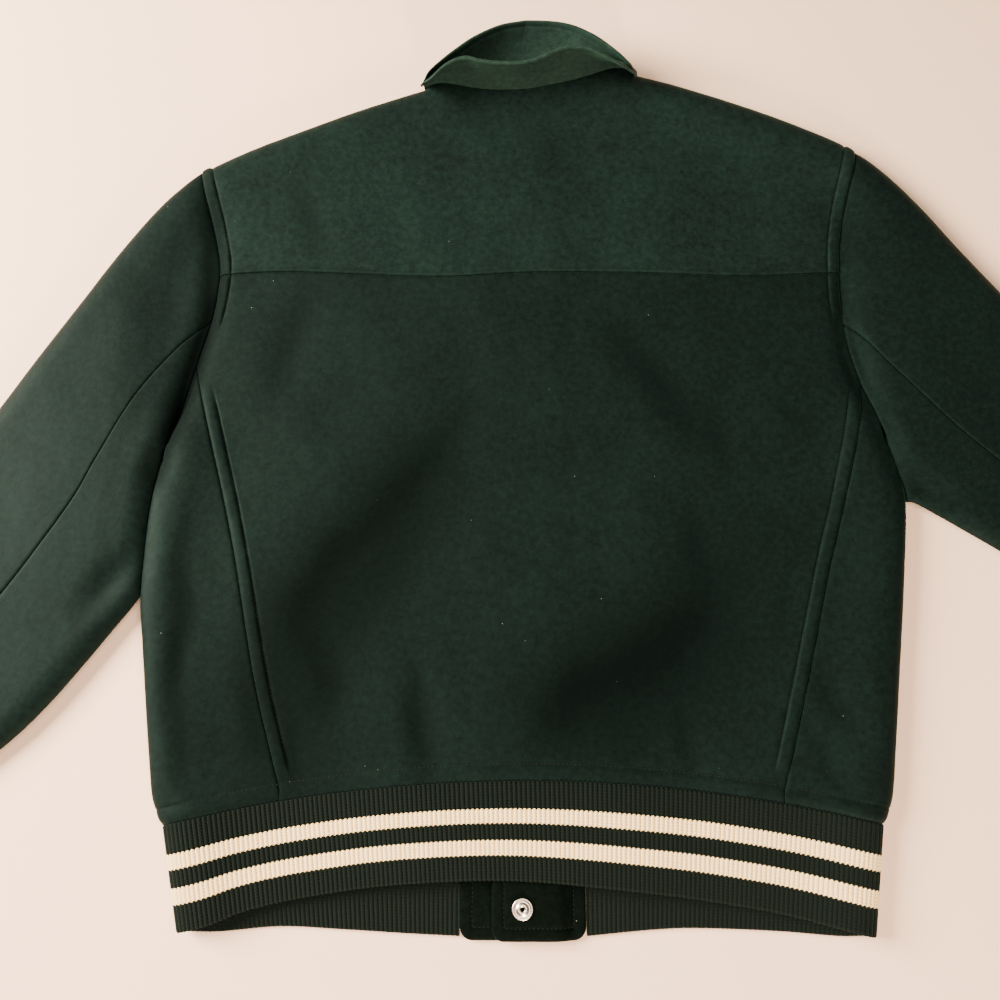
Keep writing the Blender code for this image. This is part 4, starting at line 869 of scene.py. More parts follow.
def backPieces():
    half = wool["seamGap"] / 2
    left, right = edgeLines["left"], edgeLines["right"]
    leftIn, rightIn = besideLine(left, half), besideLine(right, -half)
    panel, yoke = edgePlaces["panelSeam"], edgePlaces["yokeSeam"]
    made = {}

    def bandEdge(start, end, u):
        x = start[0] + (end[0] - start[0]) * np.asarray(u)
        return np.column_stack([x, bandSeam(x) + half])

    for side, edge, turn in (("left", leftIn, 1), ("right", rightIn, -1)):
        name, seam = f"side_back_{side}", seamLines["panel" + side.capitalize()]
        u = gridSteps(72.0, nearFold, nearSeam, 2.8)
        v = gridSteps(350.0, nearHem, (0.0,), 3.0)
        inside = besideLine(seam, -turn * half)
        outside = edge[: panel + 1]
        bottom = bandEdge(outside[0], inside[0], u)
        leftSide, rightSide = spreadLine(outside, v), spreadLine(inside, v)
        leftSide[0], rightSide[0] = bottom[0], bottom[-1]
        top = leftSide[-1] + (rightSide[-1] - leftSide[-1]) * u[:, None]
        plan = coonsGrid(bottom, top, leftSide, rightSide, u, v)
        made[name] = backCloth(name, plan, "side", meltons["back"])

    # centre back
    u = gridSteps(445.0, nearWelt, nearWelt, 2.8)
    v = gridSteps(400.0, nearHem, nearSeam, 2.9)
    leftSide, rightSide = (
        spreadLine(np.vstack([besideLine(seam, away), edge[panel + 2 : yoke + 1]]), v)
        for seam, away, edge in ((seamLines["panelLeft"], half, leftIn), (seamLines["panelRight"], -half, rightIn))
    )
    bottom = bandEdge(leftSide[0], rightSide[0], u)
    leftSide[0], rightSide[0] = bottom[0], bottom[-1]
    top = yokeSeam(u) - (0, half)
    top[0], top[-1] = top[0] + (half, 0), top[-1] - (half, 0)
    leftSide[-1], rightSide[-1] = top[0], top[-1]
    plan = coonsGrid(bottom, top, leftSide, rightSide, u, v)
    made["back_panel"] = backCloth("back_panel", plan, "panel", meltons["back"])

    # yoke
    neckLow, neckHigh = neckColumns
    nearNeck = (0.0, 1.5, 3.5)
    u = np.concatenate([
        neckLow * gridSteps(169.0, nearWelt, nearNeck, 2.8)[:-1],
        neckLow + (neckHigh - neckLow) * gridSteps(185.0, nearNeck, nearNeck, 2.8)[:-1],
        neckHigh + (1 - neckHigh) * gridSteps(166.0, nearNeck, nearWelt, 2.8),
    ])
    v = gridSteps(145.0, nearSeam, nearFold, 2.6)
    low = yokeSeam(u) + (0, half)
    low[0], low[-1] = low[0] + (half, 0), low[-1] - (half, 0)
    first, last = int(np.argmin(abs(u - neckLow))), int(np.argmin(abs(u - neckHigh)))
    top = np.vstack([
        spreadLine(smoothLine(shoulderLeft), u[: first + 1] / neckLow)[:-1],
        spreadLine(seamLines["neck"], (u[first:last] - neckLow) / (neckHigh - neckLow)),
        spreadLine(smoothLine(shoulderRight), (1 - u[last:]) / (1 - neckHigh)),
    ])
    leftSide, rightSide = spreadLine(leftIn[yoke:], v), spreadLine(rightIn[yoke:], v)
    top[0], top[-1] = leftSide[-1], rightSide[-1]
    leftSide[0], rightSide[0] = low[0], low[-1]
    plan = coonsGrid(low, top, leftSide, rightSide, u, v)
    # the yoke's wool is the lighter copy: partly its nap, partly painted light
    made["back_yoke"] = backCloth("back_yoke", plan, "yoke", meltons["yoke"])
    return made


def frontPieces():
    # each front, from its side fold past the centre to its own edge
    half = wool["seamGap"] / 2
    made = {}
    # the share of the width at which the shoulder ends and the neck begins
    neckShare = 0.64
    for side, shoulder, frontEdge, turn, lift in (
        ("left", shoulderLeft, overlap["right"], 1, 0.0),
        ("right", shoulderRight, overlap["left"], -1, wool["wall"] + wool["seamGap"]),
    ):
        edge = besideLine(edgeLines[side], turn * half)
        u = np.concatenate([
            neckShare * gridSteps(190.0, nearFold, (0.0, 2.0), 5.0)[:-1],
            neckShare + (1 - neckShare) * gridSteps(105.0, (0.0, 2.0), nearSeam, 2.6),
        ])
        v = gridSteps(590.0, nearSeam, nearFold, 5.0)
        sideLine = spreadLine(edge, v)
        bottom = sideLine[0] + (np.array([frontEdge, tabShape["top"] + wool["seamGap"]]) - sideLine[0]) * u[:, None]
        neck = np.array([shoulder[-1], (0.0, frontNeckHeight), (frontEdge, frontNeckHeight)])
        first = int(np.argmin(abs(u - neckShare)))
        top = np.vstack([
            spreadLine(smoothLine(shoulder), u[: first + 1] / neckShare)[:-1],
            spreadLine(neck, (u[first:] - neckShare) / (1 - neckShare)),
        ])
        top[0] = sideLine[-1]
        centre = bottom[-1] + (top[-1] - bottom[-1]) * v[:, None]
        plan = coonsGrid(bottom, top, sideLine, centre, u, v)
        name = f"front_{side}"
        skins = skin(plan, -1, gap=wool["seamGap"], lift=lift)
        made[name] = wallPiece(name + "_cloth", skins, meltons["front"])
    return made


def sleeveSheet(rows, armhole, u, v, face):
    # a Coons patch from the armhole to the cuff seam, at its own share u in each row v
    topFold, underFold = (spreadLine(smoothLine(rows[:, k : k + 2]), v) for k in (0, 2))
    topFold[0], underFold[0] = armhole[0], armhole[-1]
    across = (1 - u)[..., None] * topFold[:, None] + u[..., None] * underFold[:, None]
    first = spreadLine(armhole, u.ravel()).reshape(*u.shape, 2)
    last = rows[-1, :2] + (rows[-1, 2:] - rows[-1, :2]) * u[..., None]
    firstChord = armhole[0] + (armhole[-1] - armhole[0]) * u[..., None]
    plan = across + (1 - v)[:, None, None] * (first - firstChord)
    plan[-1] = last[-1]
    return skin(plan, face), plan


def joinedFaces(back, front, setBack):
    # the two faces as one grid over the fold, their cut ends set back from the seams
    merged = []
    for one, other in zip(back, front):
        grid = np.concatenate([one, other[:, 1:]], axis=1)
        for own, near in ((0, 1), (-1, -2)):
            step = grid[:, near] - grid[:, own]
            grid[:, own] += setBack * step / np.linalg.norm(step, axis=1)[:, None]
        merged.append(grid)
    return merged


def sleevePieces():
    # each sleeve is a flattened tube: an upper piece over the top fold and an under piece over the other,
    # parted by the back seam and the front seam
    gap, setBack, wide = wool["seamGap"] / 2, 0.06, 190.0
    made = {}
    for side, rows, turn in (("left", leftSleeve, 1), ("right", rightSleeve, -1)):
        armhole = besideLine(edgeLines[side], -turn * gap)[edgePlaces["parting"] :][::-1].copy()
        armhole[0], armhole[-1] = rows[0, :2] - (turn * gap, 0), rows[0, 2:] - (turn * gap, 0)
        v = gridSteps(500.0, nearArmhole, nearSeam, 3.6)
        topFold = smoothLine(rows[:, :2])
        rowPlaces = lengths(topFold)[::10] / lengths(topFold)[-1]
        backSeam = smoothLine(sleeveSeams[side]["back"])
        backSeam = np.interp(np.interp(v, rowPlaces, np.arange(len(rows))), backSeam[:, 0], backSeam[:, 1])
        frontSeam = sleeveSeams[side]["front"]
        for part in ("upper", "under"):
            # columns as shares of the way from the fold to the seam
            away = wide * (frontSeam if part == "upper" else 1 - frontSeam)
            backSteps = gridSteps(wide * 0.5, nearFold, nearSeam, 2.8)
            frontSteps = gridSteps(away, nearFold[::2] if away < 60 else nearFold, nearSeam[::2], 6.0)
            everyRow = np.zeros((len(v), 1))
            if part == "upper":
                backU, frontU = backSteps * backSeam[:, None], frontSteps * frontSeam + everyRow
            else:
                backU = 1 - backSteps * (1 - backSeam)[:, None]
                frontU = 1 - frontSteps * (1 - frontSeam) + everyRow
            back, plan = sleeveSheet(rows, armhole, backU, v, 1)
            front, _ = sleeveSheet(rows, armhole, frontU, v, -1)
            across = np.linalg.norm(plan[:, -1] - plan[:, 0], axis=1)[:, None]
            relief = seamDip((1 - backSteps) * across, 1.3, 1.0)
            armholeGone, _ = lineDistance(plan, seamLines["armhole" + side.capitalize()])
            relief = relief + seamDip(armholeGone, 1.6, 1.3)
            relief = relief + 0.05 * softNoise(plan[..., 0], plan[..., 1], 13.0, 11)
            # no relief on the fold itself, where the back's face meets the front's
            back = embossed(back, relief * eased(backSteps * wide * 0.5 / 6.0))
            grids = joinedFaces([grid[:, ::-1] for grid in back], front, setBack)
            name = f"{part}_sleeve_{side}"
            plan = grids[0][..., :2]
            made[name] = wallPiece(name + "_cloth", grids, meltons["sleeve"], plan=plan)
    return made


collarLook = {
    "wall": 3.2,
    "turnWall": 1.0,
    "turnReach": 30.0,
    "middle": 8.5,
    "halfWidth": 92.0,
    "clear": 1.8,
    "frontReach": 0.8,
    # at the back, over a shoulder and in front: how far outwards the wall leaves the seam, and its
    # middle control point's share of the rise
    "leaves": ((0.0, 0.50), (2.0, 0.45), (23.0, 0.30)),
    "rows": 30,
    "sunk": 1.0,
    "endRows": 24.0,
    "stitchAt": 4.9,
    "stitchWidth": 0.7,
    "grooveDepth": 0.45,
}


def collarSections():
    # for each table row: the section's start on the neck seam, its middle control point, its top,
    # the way outwards in plan, and 0 at the back to 2 at the front
    seams = (
        np.array([shoulderRight[-1], (0.01, frontNeckHeight)]),
        seamLines["neck"][::-1],
        np.array([shoulderLeft[-1], (-0.01, frontNeckHeight)]),
    )
    found = []
    for seam, share, x, y, z in collarEdge:
        line = seams[int(seam)]
        isBack = seam == 1
        spot = spreadLine(line, [1 - share if isBack else share])[0]
        if isBack:
            outwards = besideLine(line, 1.0) - line
            number = int(np.argmin(np.hypot(*(line - spot).T)))
            way = outwards[number] * np.sign(outwards[number, 1])
        else:
            way = np.array([0.0, 1.0])
        face = 1 if isBack else -1
        height = skin(np.array([[spot, spot]]), face)[0][0, 0, 2]
        upright = math.sqrt(1 - max(0.0, 1 - foldDistance(spot[None])[0] / wool["foldReach"]) ** 2)
        spot = spot + 1.5 * wool["seamGap"] * way
        start = np.array([*spot, height - collarLook["sunk"] if isBack else height + wool["seamGap"]])
        towardsFront = 1 - face * upright
        leave, rise = [np.interp(towardsFront, (0, 1, 2), column) for column in zip(*collarLook["leaves"])]
        if not isBack:
            leave = max(leave, (y - spot[1]) * collarLook["frontReach"])
        control = start + np.array([(x - spot[0]) * 0.3, 0.0, rise * (z - start[2])])
        control[:2] += leave * way
        found.append(np.concatenate([start, control, (x, y, z), way, [towardsFront]]))
    return np.array(found)


def collarPiece():
    # the collar: quadratic curves from the neck seam to the free edge, all round the neck, in two
    # layers whose rim is a half circle, with a stitched line 5 mm below it
    look = collarLook
    sections = smoothLine(collarSections(), 8)
    base, middle, top, ways = sections[:, :3], sections[:, 3:6], sections[:, 6:9], sections[:, 9:11]
    fronts = sections[:, 11]
    ways = unit(ways)
    back = fronts < 1.01
    height = np.linalg.norm(top - base, axis=1)
    rimSteps = np.array((0.0, 0.12, 0.35, 0.7, 1.15, 1.8, 2.8, 3.6, 4.3, 4.9, 5.6, 6.6, 8.0)) / 45.0
    t = np.concatenate([np.linspace(0.0, 1 - rimSteps[-1], look["rows"])[:-1], 1 - rimSteps[::-1]])[:, None, None]
    outer = (1 - t) ** 2 * base + 2 * t * (1 - t) * middle + t**2 * top

    def clearOfYoke(points):
        # points that lean back over the yoke are raised where they would come too near it
        over = (((points[..., :2] - base[:, :2]) * ways).sum(2) < 0.0) & back
        over[0] = False
        yokeTop = skin(points[..., :2], 1)[0][..., 2]
        points[..., 2] = np.where(over, np.maximum(points[..., 2], yokeTop + look["clear"]), points[..., 2])
        return points

    outer = clearOfYoke(outer)
    steps = np.diff(outer, axis=1)
    steps /= np.maximum(np.linalg.norm(steps, axis=2), 1e-9)[..., None]
    roundNeck = np.concatenate([steps[:, :1], steps[:, 1:] + steps[:, :-1], steps[:, -1:]], axis=1)
    upward = np.gradient(outer, axis=0) / np.gradient(t, axis=0)
    inwards = unit(np.cross(roundNeck, upward))
    turn = np.radians(90) * fronts
    shoulderSide = -np.sign(base[:, 0] - base[:, 0].mean())
    atSeam = np.zeros_like(base)
    atSeam[:, :2] = np.where(back, np.cos(turn) + 0.5, 0.0)[:, None] * ways
    atSeam[:, 0] += np.sin(turn) * shoulderSide
    atSeam[:, 2] = np.maximum(-np.cos(turn), 0.0)
    upwards = eased((t - 0.1) / 0.45)
    inwards = atSeam * (1 - upwards) + inwards * upwards
    inwards[:, [0, -1], 0] = 0.0
    inwards = unit(inwards)
    # the wall thins where the collar turns over the shoulders, and at its two front ends
    fromTurn = look["halfWidth"] - np.abs(top[:, 0] - look["middle"])
    fromEnd = np.minimum(np.arange(len(base)), np.arange(len(base))[::-1])
    share = np.minimum(eased(fromTurn / look["turnReach"]), 0.5 + 0.5 * eased(fromEnd / look["endRows"]))
    thickness = look["turnWall"] + (look["wall"] - look["turnWall"]) * share
    inner = clearOfYoke(outer + thickness[:, None] * inwards)
    # the rim: both faces close to the middle along a half circle
    fromRim = (1 - t[..., 0]) * height[None]
    reach = thickness / 2
    closing = reach * (1 - np.sqrt(1 - np.clip(1 - fromRim / reach, 0.0, 0.985) ** 2))
    groove = look["grooveDepth"] * bell((fromRim - look["stitchAt"]) / look["stitchWidth"])
    shift = (closing + groove)[..., None] * unit(inner - outer)
    # the collar's wool is the lighter copy, painted light
    return wallPiece("collar_cloth", (outer + shift, inner - shift), meltons["collar"])


def stitchRow(line, heights):
    # one row's stitches: capsules of four rings along the line, whose ends dive into the cloth
    look = seamLook
    path = np.column_stack([line, heights])
    middles = np.arange(look["stitch"], lengths(path)[-1] - look["stitch"], look["stitch"])
    spots = middles[:, None] + look["stitchLength"] * np.array((-0.5, -0.32, 0.32, 0.5))
    centres = alongLine(path, spots.ravel()).reshape(-1, 4, 3)
    rise, dive = look["threadRise"], look["threadDive"]
    centres[..., 2] += np.array((-dive, rise, rise, -dive))
    run = unit(centres[:, 3] - centres[:, 0])
    side = unit(np.cross(run, (0.0, 0.0, 1.0)))
    up = np.cross(side, run)
    # six points to a ring, so a capsule of four rings has 24
    turn = np.arange(6)[:, None] * math.tau / 6
    ring = np.cos(turn) * side[:, None] + np.sin(turn) * up[:, None]
    sizes = look["threadRadius"] * np.array((0.5, 1.0, 1.0, 0.5))
    return (centres[:, :, None] + sizes[:, None, None] * ring[:, None]).reshape(-1, 24, 3)


def stitchPiece(name, rows):
    capsules = np.concatenate([stitchRow(line, heights) for line, heights in rows])
    caps = np.array(((3, 2, 1, 0), (5, 4, 3, 0), (18, 19, 20, 21), (18, 21, 22, 23)))
    faces = np.vstack([gridFaces(4, 6, True), caps])
    faces = (faces[None] + 24 * np.arange(len(capsules))[:, None, None]).reshape(-1, 4)
    return addPiece(name, capsules.reshape(-1, 3), faces, thread, sharp=80)


def sewnHeight(line, piece):
    # the height of the sewn back's face along a plan line
    return sewnBack(line[None], piece)[0][0, :, 2]


def backStitches():
    # topstitching beside the armholes and the slanted seams, above the hem and under the neck
    wide = seamLook["weltWidth"]
    rows = []
    for side, turn in (("Left", 1), ("Right", -1)):
        line = besideLine(seamLines["armhole" + side], turn * wide)
        seam = seamLines["yoke"][0 if side == "Left" else -1, 1]
        for piece, low, high in (("panel", weltFades[side][1], seam - 2.0), ("yoke", seam + 2.0, 640.0)):
            part = line[(line[:, 1] > low) & (line[:, 1] < high)]
            rows.append((part, sewnHeight(part, piece)))
        line = besideLine(seamLines["panel" + side], turn * wide)
        part = line[(line[:, 1] > 120.0) & (line[:, 1] < 402.0)]
        rows.append((part, sewnHeight(part, "panel")))
    line = besideLine(seamLines["hem"], -seamLook["hemStitch"])
    part = line[np.abs(line[:, 0]) < 254.0]
    rows.append((part, sewnHeight(part, "side")))
    line = besideLine(seamLines["neck"], seamLook["neckStitch"])
    rows.append((line, sewnHeight(line, "yoke")))
    stitchPiece("back_stitches", rows)


ribShape = {
    "pitch": 3.4, "wall": 2.2, "raise": 1.0, "columns": 6, "edgeReach": 1.7, "edgeRoll": 1.25, "scallop": 0.5,
    "scallopReach": 2.0,
}


def ribCrown(phase):
    # a rib's section: a sine over one rib to the power 0.6, 0 in the groove and 1 on the crown
    return np.abs(np.sin(math.pi * phase)) ** 0.6


def ribbedPiece(name, section, count, shares, wrap, finish):
    # a rib-knit strip: section(fractions, shares) gives its plain faces, which sink between the ribs
    columns = count * ribShape["columns"]
    fractions = np.linspace(0.0, 1.0, columns + 1)
    if wrap:
        fractions = fractions[:-1]
    phase = fractions * count
    outer, inner, depth = section(fractions, shares)
    way = unit(outer - inner)
    sunk = ribShape["raise"] * (1 - ribCrown(phase))[None, :, None]
    sunkInside = ribShape["raise"] * (1 - ribCrown(phase + 0.5))[None, :, None]
    # both edges are rolled: the faces close to each other along a quarter circle
    edgeGone = np.minimum(shares, 1 - shares)[:, None] * depth
    rolled = np.clip(1 - edgeGone / ribShape["edgeReach"], 0.0, 1.0)
    closing = ribShape["edgeRoll"] * (1 - np.sqrt(1 - rolled**2))[..., None]
    outer = outer - way * (sunk + closing)
    inner = inner + way * (sunkInside + closing)
    ribUv = np.stack(np.broadcast_arrays(phase, shares[:, None]), -1)
    return wallPiece(name, (outer, inner), finish, (ribUv, ribUv + (0.0, 2.0)), wrap, sharp=75)


bandShares = gridSteps(ribLook["depth"], nearRibEdge, nearRibEdge, 3.6)


def hemBand():
    inset = wool["foldReach"] * (1 - np.cos(np.radians(np.linspace(0, 90, 13))))
    corners = {}
    for side, line in bandSides.items():
        line = np.array(line)
        corners[side] = alongLine(line, lengths(line)[-1:] - wool["seamGap"] / 2)[0]
    u = np.linspace(0.0, 1.0, 61)[:, None]
    backTop = corners["left"] + (corners["right"] - corners["left"]) * u + np.array([0, bandArch]) * 4 * u * (1 - u)
    backLow = smoothLine(backHem)

    def frontTop(side, hemEnd):
        return np.array([corners[side], (hemEnd[0], tabShape["top"])])

    # each run's lower and upper line, its face, how much of it this run takes, and whether it runs inwards
    runs = (
        (smoothLine(frontHemRight)[::-1], frontTop("right", frontHemRight[0]), -1, 1.0, True),
        (backLow[::-1], backTop[::-1], 1, 0.5, False),
        (backLow, backTop, 1, 0.5, True),
        (smoothLine(frontHemLeft), frontTop("left", frontHemLeft[-1]), -1, 1.0, False),
    )
    lows, tops, faces = [], [], []
    for low, top, face, reach, backwards in runs:
        gone = np.concatenate([inset, np.linspace(wool["foldReach"], lengths(low)[-1] * reach, 50)[1:]])
        order = slice(None, None, -1) if backwards else slice(None)
        lows.append(alongLine(low, gone)[order])
        tops.append(spreadLine(top, gone / lengths(low)[-1])[order])
        faces += [face] * len(gone)
    low, top, face = np.vstack(lows), np.vstack(tops), np.array(faces)
    kept = np.concatenate([[True], np.linalg.norm(np.diff(low + top, axis=0), axis=1) > 1e-6])
    # a fold's two faces meet in one point, so the front's copy of it is dropped
    low, top, face = low[kept], top[kept], face[kept]
    wall = ribShape["wall"] + ribShape["raise"]

    def rowAt(share):
        plan = low + (top - low) * share
        outer, inner = np.empty((len(plan), 3)), np.empty((len(plan), 3))
        for side in (1, -1):
            here = face == side
            found = skin(plan[None, here], side, wall)
            outer[here], inner[here] = found[0][0], found[1][0]
        return outer, inner

    gone = lengths(rowAt(0.5)[0])
    count = int(gone[-1] / ribShape["pitch"]) // 3 * 3

    def section(fractions, shares):
        spots = fractions * gone[-1]
        grids = [rowAt(share) for share in shares]
        outer, inner = (
            np.stack([
                np.column_stack([np.interp(spots, gone, grid[k][:, axis]) for axis in range(3)]) for grid in grids
            ])
            for k in (0, 1)
        )
        depth = np.linalg.norm(outer[0] - outer[-1], axis=1)[None]
        # the lower edge is scalloped by the ribs
        drop = (outer[0] - outer[-1]) / depth[0][:, None]
        scallop = ribShape["scallop"] * (ribCrown(fractions * count) - 1)
        for grid in (outer, inner):
            grid += (scallop * bell(shares[:, None] * depth / ribShape["scallopReach"]))[..., None] * drop
        return outer, inner, depth

    return ribbedPiece("hem_band_knit", section, count, bandShares, False, ribFinish), gone[-1]


def cuffPiece(side):
    # a cuff: a flattened tube in plan sections that ease in from the sleeve's end, flat underneath
    rows = leftSleeve if side == "left" else rightSleeve
    top, under = rows[-1, :2], rows[-1, 2:]
    width = np.linalg.norm(under - top)
    across = (under - top) / width
    down = np.array([across[1], -across[0]])
    if (top - rows[-2, :2]) @ down < 0:
        down = -down
    centre = (top + under) / 2
    wall = ribShape["wall"] + ribShape["raise"]
    # the sleeve's end eases in over the first millimetres, swells a little, and narrows to the cuff's own width
    ease, wide, long, tuck, swell = 22.0, 98.0, 70.0, 3.0, 5.0
    heights = (14.0, 13.0, 12.0)

    def section(fractions, shares):
        outer, inner = [], []
        for share in shares:
            gone = wool["seamGap"] + (long - wool["seamGap"]) * (1 - share)
            wideHere = np.interp(gone, (0, ease, long), (width - tuck, wide + swell, wide))
            high = np.interp(gone, (0, ease, long), heights)
            radius = high / 2
            straight = wideHere - high
            perimeter = 2 * straight + math.tau * radius
            spot = fractions * perimeter
            # over the top, round one side, back under, round the other side
            bend, quarter = math.pi * radius, math.pi / 2
            turns = [spot < straight, spot < straight + bend, spot < 2 * straight + bend]
            flatX = np.select(
                turns, [spot - straight / 2, straight / 2, straight * 1.5 + bend - spot], -straight / 2
            )
            firstTurn, lastTurn = (spot - straight) / radius, (spot - 2 * straight - bend) / radius
            angle = np.select(turns, [quarter, quarter - firstTurn, -quarter], -quarter - lastTurn)
            for reach, made in ((radius, outer), (radius - wall, inner)):
                run = flatX + reach * np.cos(angle)
                plan = centre + down * gone + run[:, None] * across
                made.append(np.column_stack([plan, radius + reach * np.sin(angle)]))
        outer, inner = np.stack(outer), np.stack(inner)
        return outer, inner, np.full((1, len(fractions)), long)

    count = int((2 * wide + (math.pi - 2) * heights[0]) / ribShape["pitch"]) // 3 * 3
    return ribbedPiece(f"cuff_{side}_knit", section, count, bandShares, True, cuffFinish)


def tabPlace(side):
    # where the tab begins, and how high the one lies that is over the other
    if side == "left":
        return overlap["right"] - tabShape["width"], 0.0
    return overlap["left"], tabShape["wall"] + wool["seamGap"]


def tabBase(x, lift):
    return liftAt(x, lift) if lift else np.zeros(x.shape)


def hemTab(side):
    # a doubled plate of wool with round lower corners, its edges rolled and its topstitching sunk
    look = tabShape
    firstX, lift = tabPlace(side)
    u = gridSteps(look["width"], nearTabEdge, nearTabEdge, 2.6)
    v = gridSteps(look["top"], nearTabEdge, nearSeam, 2.6)
    x = u * look["width"]
    fromSide = np.minimum(x, look["width"] - x)
    corner = look["corner"]
    lowY = corner - np.sqrt(np.maximum(corner**2 - np.maximum(corner - fromSide, 0.0) ** 2, 0.0))
    topY = look["top"] - wool["seamGap"] / 2
    y = lowY[None, :] + (topY - lowY)[None, :] * v[:, None]
    plan = np.dstack([np.broadcast_to(x + firstX, y.shape), y])
    # distance in from the outline: the nearer side, or the round corner
    inX, inY = np.broadcast_to(fromSide, y.shape), y
    cornerGone = corner - np.hypot(np.maximum(corner - inX, 0), np.maximum(corner - inY, 0))
    fromEdge = np.maximum(np.where((inX < corner) & (inY < corner), cornerGone, np.minimum(inX, inY)), 0.0)
    rolled = look["roll"] * (1 - np.sqrt(1 - np.clip(1 - fromEdge / look["rollReach"], 0.0, 1.0) ** 2))
    groove = look["grooveDepth"] * bell((fromEdge - look["stitchIn"]) / look["grooveWidth"])
    # the wool is fullest half way between the edge and the stitching
    plump = look["plump"] * bell((fromEdge - 4.8) / 3.0) + 0.12 * softNoise(plan[..., 0], plan[..., 1], 15.0, 61)
    base = tabBase(plan[..., 0], lift)
    upper = np.dstack([plan, base + look["wall"] - rolled - groove + plump - 0.3])
    lower = np.dstack([plan, base + 0.6 * rolled])
    # the tab's wool is the darker copy, painted shade
    return wallPiece(f"hem_tab_{side}_cloth", (upper, lower), meltons["tab"])


def tabStitches(side):
    # a row round three sides of a tab's upper face
    look = tabShape
    reach, rounding = look["stitchIn"], 3.0
    firstX, lift = tabPlace(side)
    left = firstX + reach
    right = left + look["width"] - 2 * reach
    high, middle = look["top"] - 2.0, 40.0
    line = smoothLine((
        (left, high), (left, middle), (left, reach + rounding), (left + rounding, reach),
        ((left + right) / 2, reach), (right - rounding, reach), (right, reach + rounding), (right, middle),
        (right, high),
    ))
    heights = tabBase(line[:, 0], lift) + look["wall"] - look["threadSunk"]
    stitchPiece(f"hem_tab_{side}_stitches", [(line, heights)])


snapHeights = (22.0, 132.0, 238.0, 344.0, 450.0, 556.0, 660.0)


def snapRings():
    # press-stud rings turned from one profile: a flat rim, a dished face and a rolled eye
    profile = np.array((
        (7.2, 0.0), (7.5, 0.25), (7.45, 0.7), (7.0, 0.95), (6.3, 0.85), (5.6, 0.62), (4.9, 0.62), (4.3, 0.9),
        (3.7, 1.35), (3.0, 1.6), (2.3, 1.55), (1.8, 1.3), (1.6, 0.9), (1.6, 0.0),
    ))
    ring = smoothLine(profile, 3)
    turn = np.linspace(0, math.tau, 40, endpoint=False)
    for number, height in enumerate(snapHeights, start=1):
        # the lowest one sits on the two tabs, the others on the two fronts
        seat = 2 * (wool if number > 1 else tabShape)["wall"] + wool["seamGap"]
        x = ring[:, :1] * np.cos(turn)
        y = ring[:, :1] * np.sin(turn) + height
        z = np.broadcast_to(ring[:, 1:] + seat + wool["seamGap"], x.shape)
        faces = gridFaces(*x.shape, wrap=True, wrapRows=True)
        piece = addPiece(f"snap_{number}_ring", np.dstack([x, y, z]).reshape(-1, 3), faces, nickel)
        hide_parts(f"snap_{number}")


cloth = backPieces()
print("back sewn")
cloth.update(frontPieces())
print("fronts sewn")
cloth.update(sleevePieces())
print("sleeves set in")
collar = collarPiece()
print("collar set on")
band, bandLength = hemBand()
cuffs = {side: cuffPiece(side) for side in ("left", "right")}
tabs = {side: hemTab(side) for side in ("left", "right")}
snapRings()
backStitches()
for side in ("left", "right"):
    tabStitches(side)
print("ribs, tabs, snaps and stitches on")

for name, piece in cloth.items():
    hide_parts(name)
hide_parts("collar")
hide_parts("hem_band")
for side in ("left", "right"):
    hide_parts(f"cuff_{side}")
    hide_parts(f"hem_tab_{side}")


# Studio


def seamlessPaper():
    # Matt coated paper sheet: almost white, faintly warm, with no gloss.
    made, tree, shader = newMaterial("seamlessPaper", Roughness=0.9, Specular_IOR_Level=0.2)
    grain = noiseOver(tree, objectPlace(tree), 260.0, 3.0)
    tree.links.new(mixed(tree, grain, linear("#ecc9aa"), linear("#f1d0b2")), shader.inputs["Base Color"])
    return made


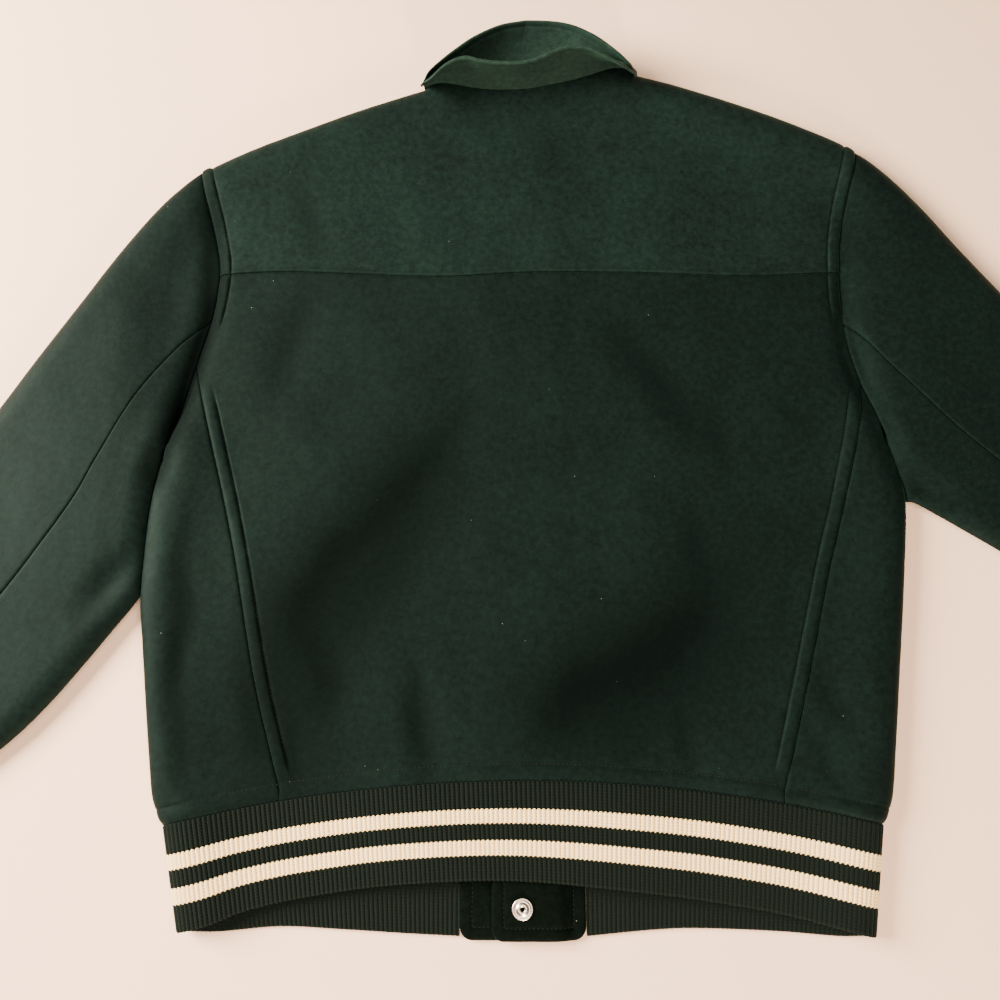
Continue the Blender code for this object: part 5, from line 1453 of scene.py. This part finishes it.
studio = {
    "window": {"at": (-1.5, 0.3, 0.85), "size": 1.0, "power": 205.0, "colour": "#fff1e4"},
    "lamp": {"at": (0.35, -1.8, 0.6), "size": 0.35, "power": 95.0, "colour": "#ffe6d2"},
    "fill": {"at": (0.1, -0.25, 1.9), "size": 1.2, "power": 30.0, "colour": "#fff0e2"},
    "sky": {"colour": "#ffeee0", "power": 0.27},
    "camera": {"at": (-0.016, -0.188, 0.700), "tip": 13.0, "lens": 32.4, "sensor": 36.0, "near": 0.01},
    "paper": {"reach": 4, "below": 0.0002},
}


def addLight(name, look):
    light = bpy.data.lights.new(name, "AREA")
    light.shape = "DISK"
    light.size = look["size"]
    light.energy = look["power"]
    light.color = linear(look["colour"])[:3]
    lamp = bpy.data.objects.new(name, light)
    x, y, z = look["at"]
    lamp.location = look["at"]
    lamp.rotation_euler = (math.atan2(math.hypot(x, y), z), 0.0, math.atan2(y, x) + math.pi / 2)
    bpy.context.scene.collection.objects.link(lamp)


def addStudio():
    mesh = bpy.data.meshes.new("paper_sheet")
    reach = studio["paper"]["reach"]
    corners = [(-reach, -reach, 0), (reach, -reach, 0), (reach, reach, 0), (-reach, reach, 0)]
    mesh.from_pydata(corners, [], [(0, 1, 2, 3)])
    mesh.materials.append(seamlessPaper())
    paper = bpy.data.objects.new("paper_sheet", mesh)
    paper.location.z = -studio["paper"]["below"]
    bpy.context.scene.collection.objects.link(paper)
    for name in ("window", "lamp", "fill"):
        addLight(name, studio[name])
    sky = bpy.data.worlds.new("studio")
    sky.use_nodes = True
    backdrop = sky.node_tree.nodes["Background"]
    backdrop.inputs["Color"].default_value = linear(studio["sky"]["colour"])
    backdrop.inputs["Strength"].default_value = studio["sky"]["power"]
    bpy.context.scene.world = sky
    look = studio["camera"]
    lens = bpy.data.cameras.new("camera")
    lens.lens = look["lens"]
    lens.sensor_width = look["sensor"]
    lens.clip_start = look["near"]
    camera = bpy.data.objects.new("camera", lens)
    camera.location = look["at"]
    camera.rotation_euler = (math.radians(look["tip"]), 0.0, 0.0)
    bpy.context.scene.collection.objects.link(camera)
    bpy.context.scene.camera = camera


addStudio()
print("studio lit")
